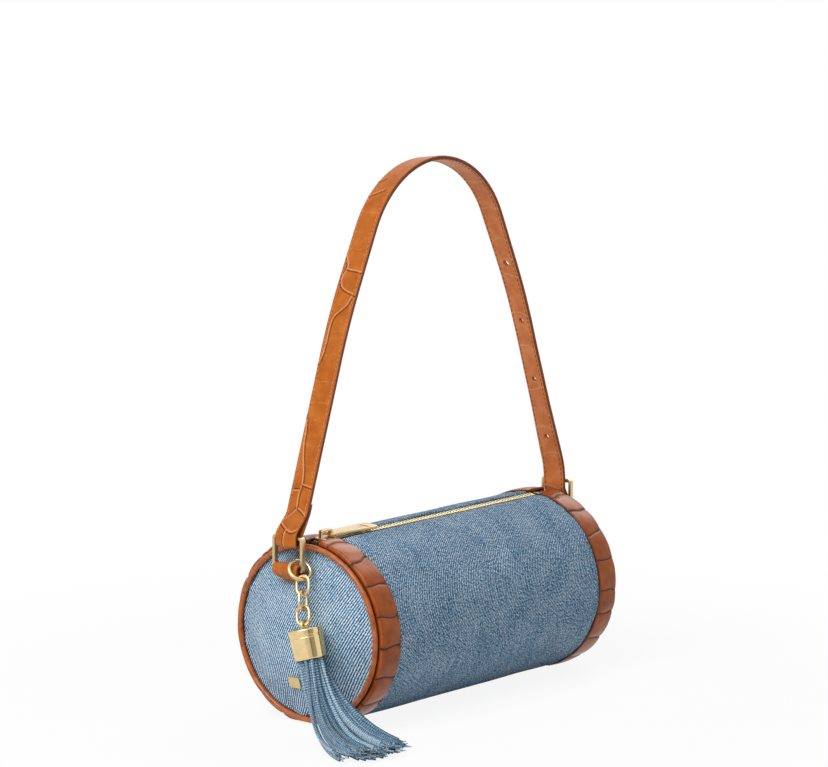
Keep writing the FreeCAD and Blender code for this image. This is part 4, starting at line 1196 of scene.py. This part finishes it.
fringe = {"strands": 36, "width": 4.8, "thickness": 1.9, "seed": 17, "rootRadius": 6.6, "fanHalf": 26.0,
          "layer": 3.0, "points": 30, "frays": 7, "frayLength": 6.0, "frayWidth": 0.55, "frayShade": 0.25,
          "wave": 0.8, "sway": 2.0, "clear": 0.3, "across": (0.97, -0.24, 0.0),
          "line": [(-143.8, -25.9, 54.8), (-143.8, -34.0, 25.0), (-152.0, -55.0, 5.0), (-162.0, -91.0, 4.6)]}


def bundleFrame(t):
    # place, side and rise along the bundle's curve, which runs on straight past its end
    a, b, c, d = [np.array(p) for p in fringe["line"]]
    past, t = max(t - 1, 0), min(t, 1)
    place = (1 - t) ** 3 * a + 3 * (1 - t) ** 2 * t * b + 3 * (1 - t) * t ** 2 * c + t ** 3 * d
    way = 3 * (1 - t) ** 2 * (b - a) + 6 * (1 - t) * t * (c - b) + 3 * t ** 2 * (d - c)
    side = unit(np.array(fringe["across"]) * t + np.array([1.0, 0.0, 0.0]) * (1 - t))
    return place + way * past, side, unit(np.cross(way, side))


def strandTree():
    t, start = newTree("fringeStrands", Width="Float", Thickness="Float", Yarn="Material")
    curve = t.get("GeometryNodeMeshToCurve", {}, {"Mesh": start.of("Geometry")})
    curve = t.get("GeometryNodeSetCurveNormal", {"mode": "FREE"}, {"Curve": curve, "Normal": facingMark(t)})
    ring = t.get("GeometryNodeCurvePrimitiveCircle", {"mode": "RADIUS"}, {"Resolution": 10, "Radius": 0.5})
    turn = t.get("GeometryNodeSplineParameter", {}, {}, "Factor")
    ring = t.get("GeometryNodeStoreNamedAttribute", {"data_type": "FLOAT", "domain": "POINT"},
                 {"Geometry": ring, "Name": "around", "Value": turn})
    size = t.get("ShaderNodeCombineXYZ", {}, {"X": start.of("Width"), "Y": start.of("Thickness"), "Z": 1.0})
    ring = t.get("GeometryNodeTransform", {}, {"Geometry": ring, "Scale": size})
    tube = t.get("GeometryNodeCurveToMesh", {}, {"Curve": curve, "Profile Curve": ring, "Fill Caps": True})
    return closeTree(t, tube, start.of("Yarn"))


def makeStrands(name, paths, width, thickness, tree):
    obj = lineObject(name, [(places, faces) for places, faces, _ in paths],
                     along=np.concatenate([runAlong(places) * mm for places, _, _ in paths]),
                     shade=np.concatenate([np.full(len(places), tone) for places, _, tone in paths]))
    return runTree(obj, tree, Width=width * mm, Thickness=thickness * mm, Yarn=fringeBlue)


def makeFringe():
    rng = np.random.default_rng(fringe["seed"])
    golden = pi * (3 - 5 ** 0.5)
    root, fan, layer = fringe["rootRadius"], fringe["fanHalf"], fringe["layer"]
    strands, frays = [], []
    for k in range(fringe["strands"]):
        out = ((k + 0.5) / fringe["strands"]) ** 0.5
        across, deep = out * cos(k * golden), out * sin(k * golden)
        end = 0.96 + 0.09 * (1 - across ** 2) + rng.uniform(-0.03, 0.03)
        sway = fringe["sway"] * rng.uniform(-1, 1)
        roll = rng.normal(0, 0.35)
        phase = rng.uniform(0, 2 * pi)
        places, faces = [], []
        for t in np.linspace(0, end, fringe["points"]):
            place, side, rise = bundleFrame(t)
            s = min(t, 1)
            spread = s * s * (3 - 2 * s)
            wave = fringe["wave"] * spread
            wide = across * (root + (fan - root) * spread) + sway * spread + wave * sin(5 * t + phase)
            thick = deep * (root + (layer - root) * spread) + wave * cos(4 * t + phase) * 0.5
            p = place + side * wide + rise * thick
            p[2] = max(p[2], fringe["thickness"] / 2 + fringe["clear"])
            # at the root a strand faces out of the bundle, on the table it lies nearly flat
            outWay = unit(side * across + rise * deep + rise * 0.3)
            places.append(p)
            faces.append(unit(outWay * (1 - spread) + unit(rise + side * roll) * spread))
        places, faces = onStrap(places), turnWays(faces)
        tone = rng.uniform(0.15, 0.85)
        strands.append((places, faces, tone))
        way = unit(places[-1] - places[-2])
        for _ in range(fringe["frays"]):
            splay = rng.normal(0, 0.28, 3)
            splay[2] = abs(splay[2]) * 0.6
            spot = places[-1] + rng.uniform(-1, 1, 3) * np.array([1.8, 0.4, 0.6])
            length = fringe["frayLength"] * rng.uniform(0.5, 1.0)
            steps = np.linspace(0, 1, 5)[:, None]
            hair = spot + (way + splay * steps) * steps * length
            hair[:, 2] = hair[:, 2].clip(0.4)
            frays.append((hair, np.repeat([[0.0, 0.0, 1.0]], 5, 0), tone + fringe["frayShade"]))
    tree = strandTree()
    put(makeStrands("fringeStrands", strands, fringe["width"], fringe["thickness"], tree), "tassel", "fringe",
        "tassel_fringe")
    put(makeStrands("fringeFrays", frays, fringe["frayWidth"], fringe["frayWidth"], tree), "tassel", "fringe")


makeFringe()
print("stage: fringe")


# floor, light and camera, in metres; a card is a direction, where it starts and ends, and its depth

studio = {"floor": rgb(240, 240, 240), "floorShade": rgb(232, 232, 232), "floorSize": 12.0, "ambient": 0.12,
          "aim": (0, 0, 0.1), "key": 45.0, "keyPlace": (-1.55, -0.2, 1.64), "keySize": 1.5, "top": 11.0,
          "topPlace": (1.1, 0.25, 1.25), "topSize": 1.2, "clearNear": 0.9, "clearFrom": 0.2, "clearTo": 0.5,
          "cards": [((-0.225, -0.96, 0.15), 0.93, 0.965, 0.7), ((-0.669, -0.73, 0.1), 0.92, 0.96, 0.3),
                    ((-0.6, 0.8, 0.0), 0.8, 0.9, 0.35)]}


def seenRays(t, ray):
    first = t.maths("MAXIMUM", ray.of("Is Camera Ray"), ray.of("Is Glossy Ray"))
    return t.maths("MAXIMUM", first, ray.of("Is Transmission Ray"))


def floorMaterial():
    # pale floor that keeps the shadow, and clears to white away from the bag
    material, t = newMaterial("paleFloor")
    place = t.place()
    away = t.get("ShaderNodeVectorMath", {"operation": "LENGTH"}, {0: place}, 1)
    near = studio["clearNear"]
    clear = t.smooth(away, studio["clearFrom"], studio["clearTo"]) * (1 - near) + near
    colour = t.mixColour(t.noise(place, 3.0) * 0.3, studio["floor"], studio["floorShade"])
    matt = t.get("ShaderNodeBsdfPrincipled", {},
                 {"Base Color": colour, "Roughness": 0.9, "Specular IOR Level": 0.1})
    white = t.get("ShaderNodeEmission", {}, {"Color": (1, 1, 1, 1), "Strength": 1.0})
    seen = seenRays(t, t.get("ShaderNodeLightPath"))
    both = t.get("ShaderNodeMixShader", {}, {0: clear * seen, 1: matt, 2: white})
    t.get("ShaderNodeOutputMaterial", {}, {"Surface": both})
    return material


def makeWorld():
    # white to the camera, dim as light, with dark cards in reflections
    world = bpy.data.worlds.new("studioWorld")
    bpy.context.scene.world = world
    world.use_nodes = True
    world.node_tree.nodes.clear()
    t = Tree(world.node_tree)
    ray = t.get("ShaderNodeLightPath")
    way = t.get("ShaderNodeTexCoord", {}, {}, "Generated")
    shade = 0.0
    for aim, low, high, depth in studio["cards"]:
        facing = t.get("ShaderNodeVectorMath", {"operation": "DOT_PRODUCT"}, {0: way, 1: aim}, 1)
        shade = t.smooth(facing, low, high) * depth + shade
    dark = shade * (1.0 - ray.of("Is Camera Ray"))
    strength = seenRays(t, ray) * (1.0 - studio["ambient"]) * (1.0 - dark) + studio["ambient"]
    sky = t.get("ShaderNodeBackground", {}, {"Color": (1, 1, 1, 1), "Strength": strength})
    t.get("ShaderNodeOutputWorld", {}, {"Surface": sky})


def lamp(label):
    name, place = label + "Lamp", Vector(studio[label + "Place"])
    data = bpy.data.lights.new(name, "AREA")
    data.shape = "SQUARE"
    data.size = studio[label + "Size"]
    data.energy = studio[label]
    obj = addObject(name, data)
    obj.rotation_euler = (Vector(studio["aim"]) - place).to_track_quat("-Z", "Y").to_euler()
    obj.location = place


bpy.ops.mesh.primitive_plane_add(size=studio["floorSize"])
floor = bpy.context.object
floor.name = "studioFloor"
floor.data.materials.append(floorMaterial())
makeWorld()
lamp("top")
lamp("key")

# the focal length is in pixels of the photo, the place in metres
view = {"azimuth": -51.208, "elevation": 8.383, "place": (-2.001916, -1.5954, 0.57379), "focal": 4122.869,
        "wide": 828, "sensor": 36.0}
az, el = radians(view["azimuth"]), radians(view["elevation"])
back = Vector((sin(az) * cos(el), -cos(az) * cos(el), sin(el)))
rightWay = Vector((0, 0, 1)).cross(back).normalized()
upWay = back.cross(rightWay)
cameraData = bpy.data.cameras.new("photoCamera")
cameraData.sensor_width = view["sensor"]
cameraData.lens = view["focal"] * view["sensor"] / view["wide"]
cameraData.clip_end = 50
camera = addObject("photoCamera", cameraData)
turn = Matrix((rightWay, upWay, back)).transposed().to_4x4()
camera.matrix_world = Matrix.Translation(view["place"]) @ turn
bpy.context.scene.camera = camera
bpy.context.scene.view_settings.view_transform = "Standard"

print("stage: studio")
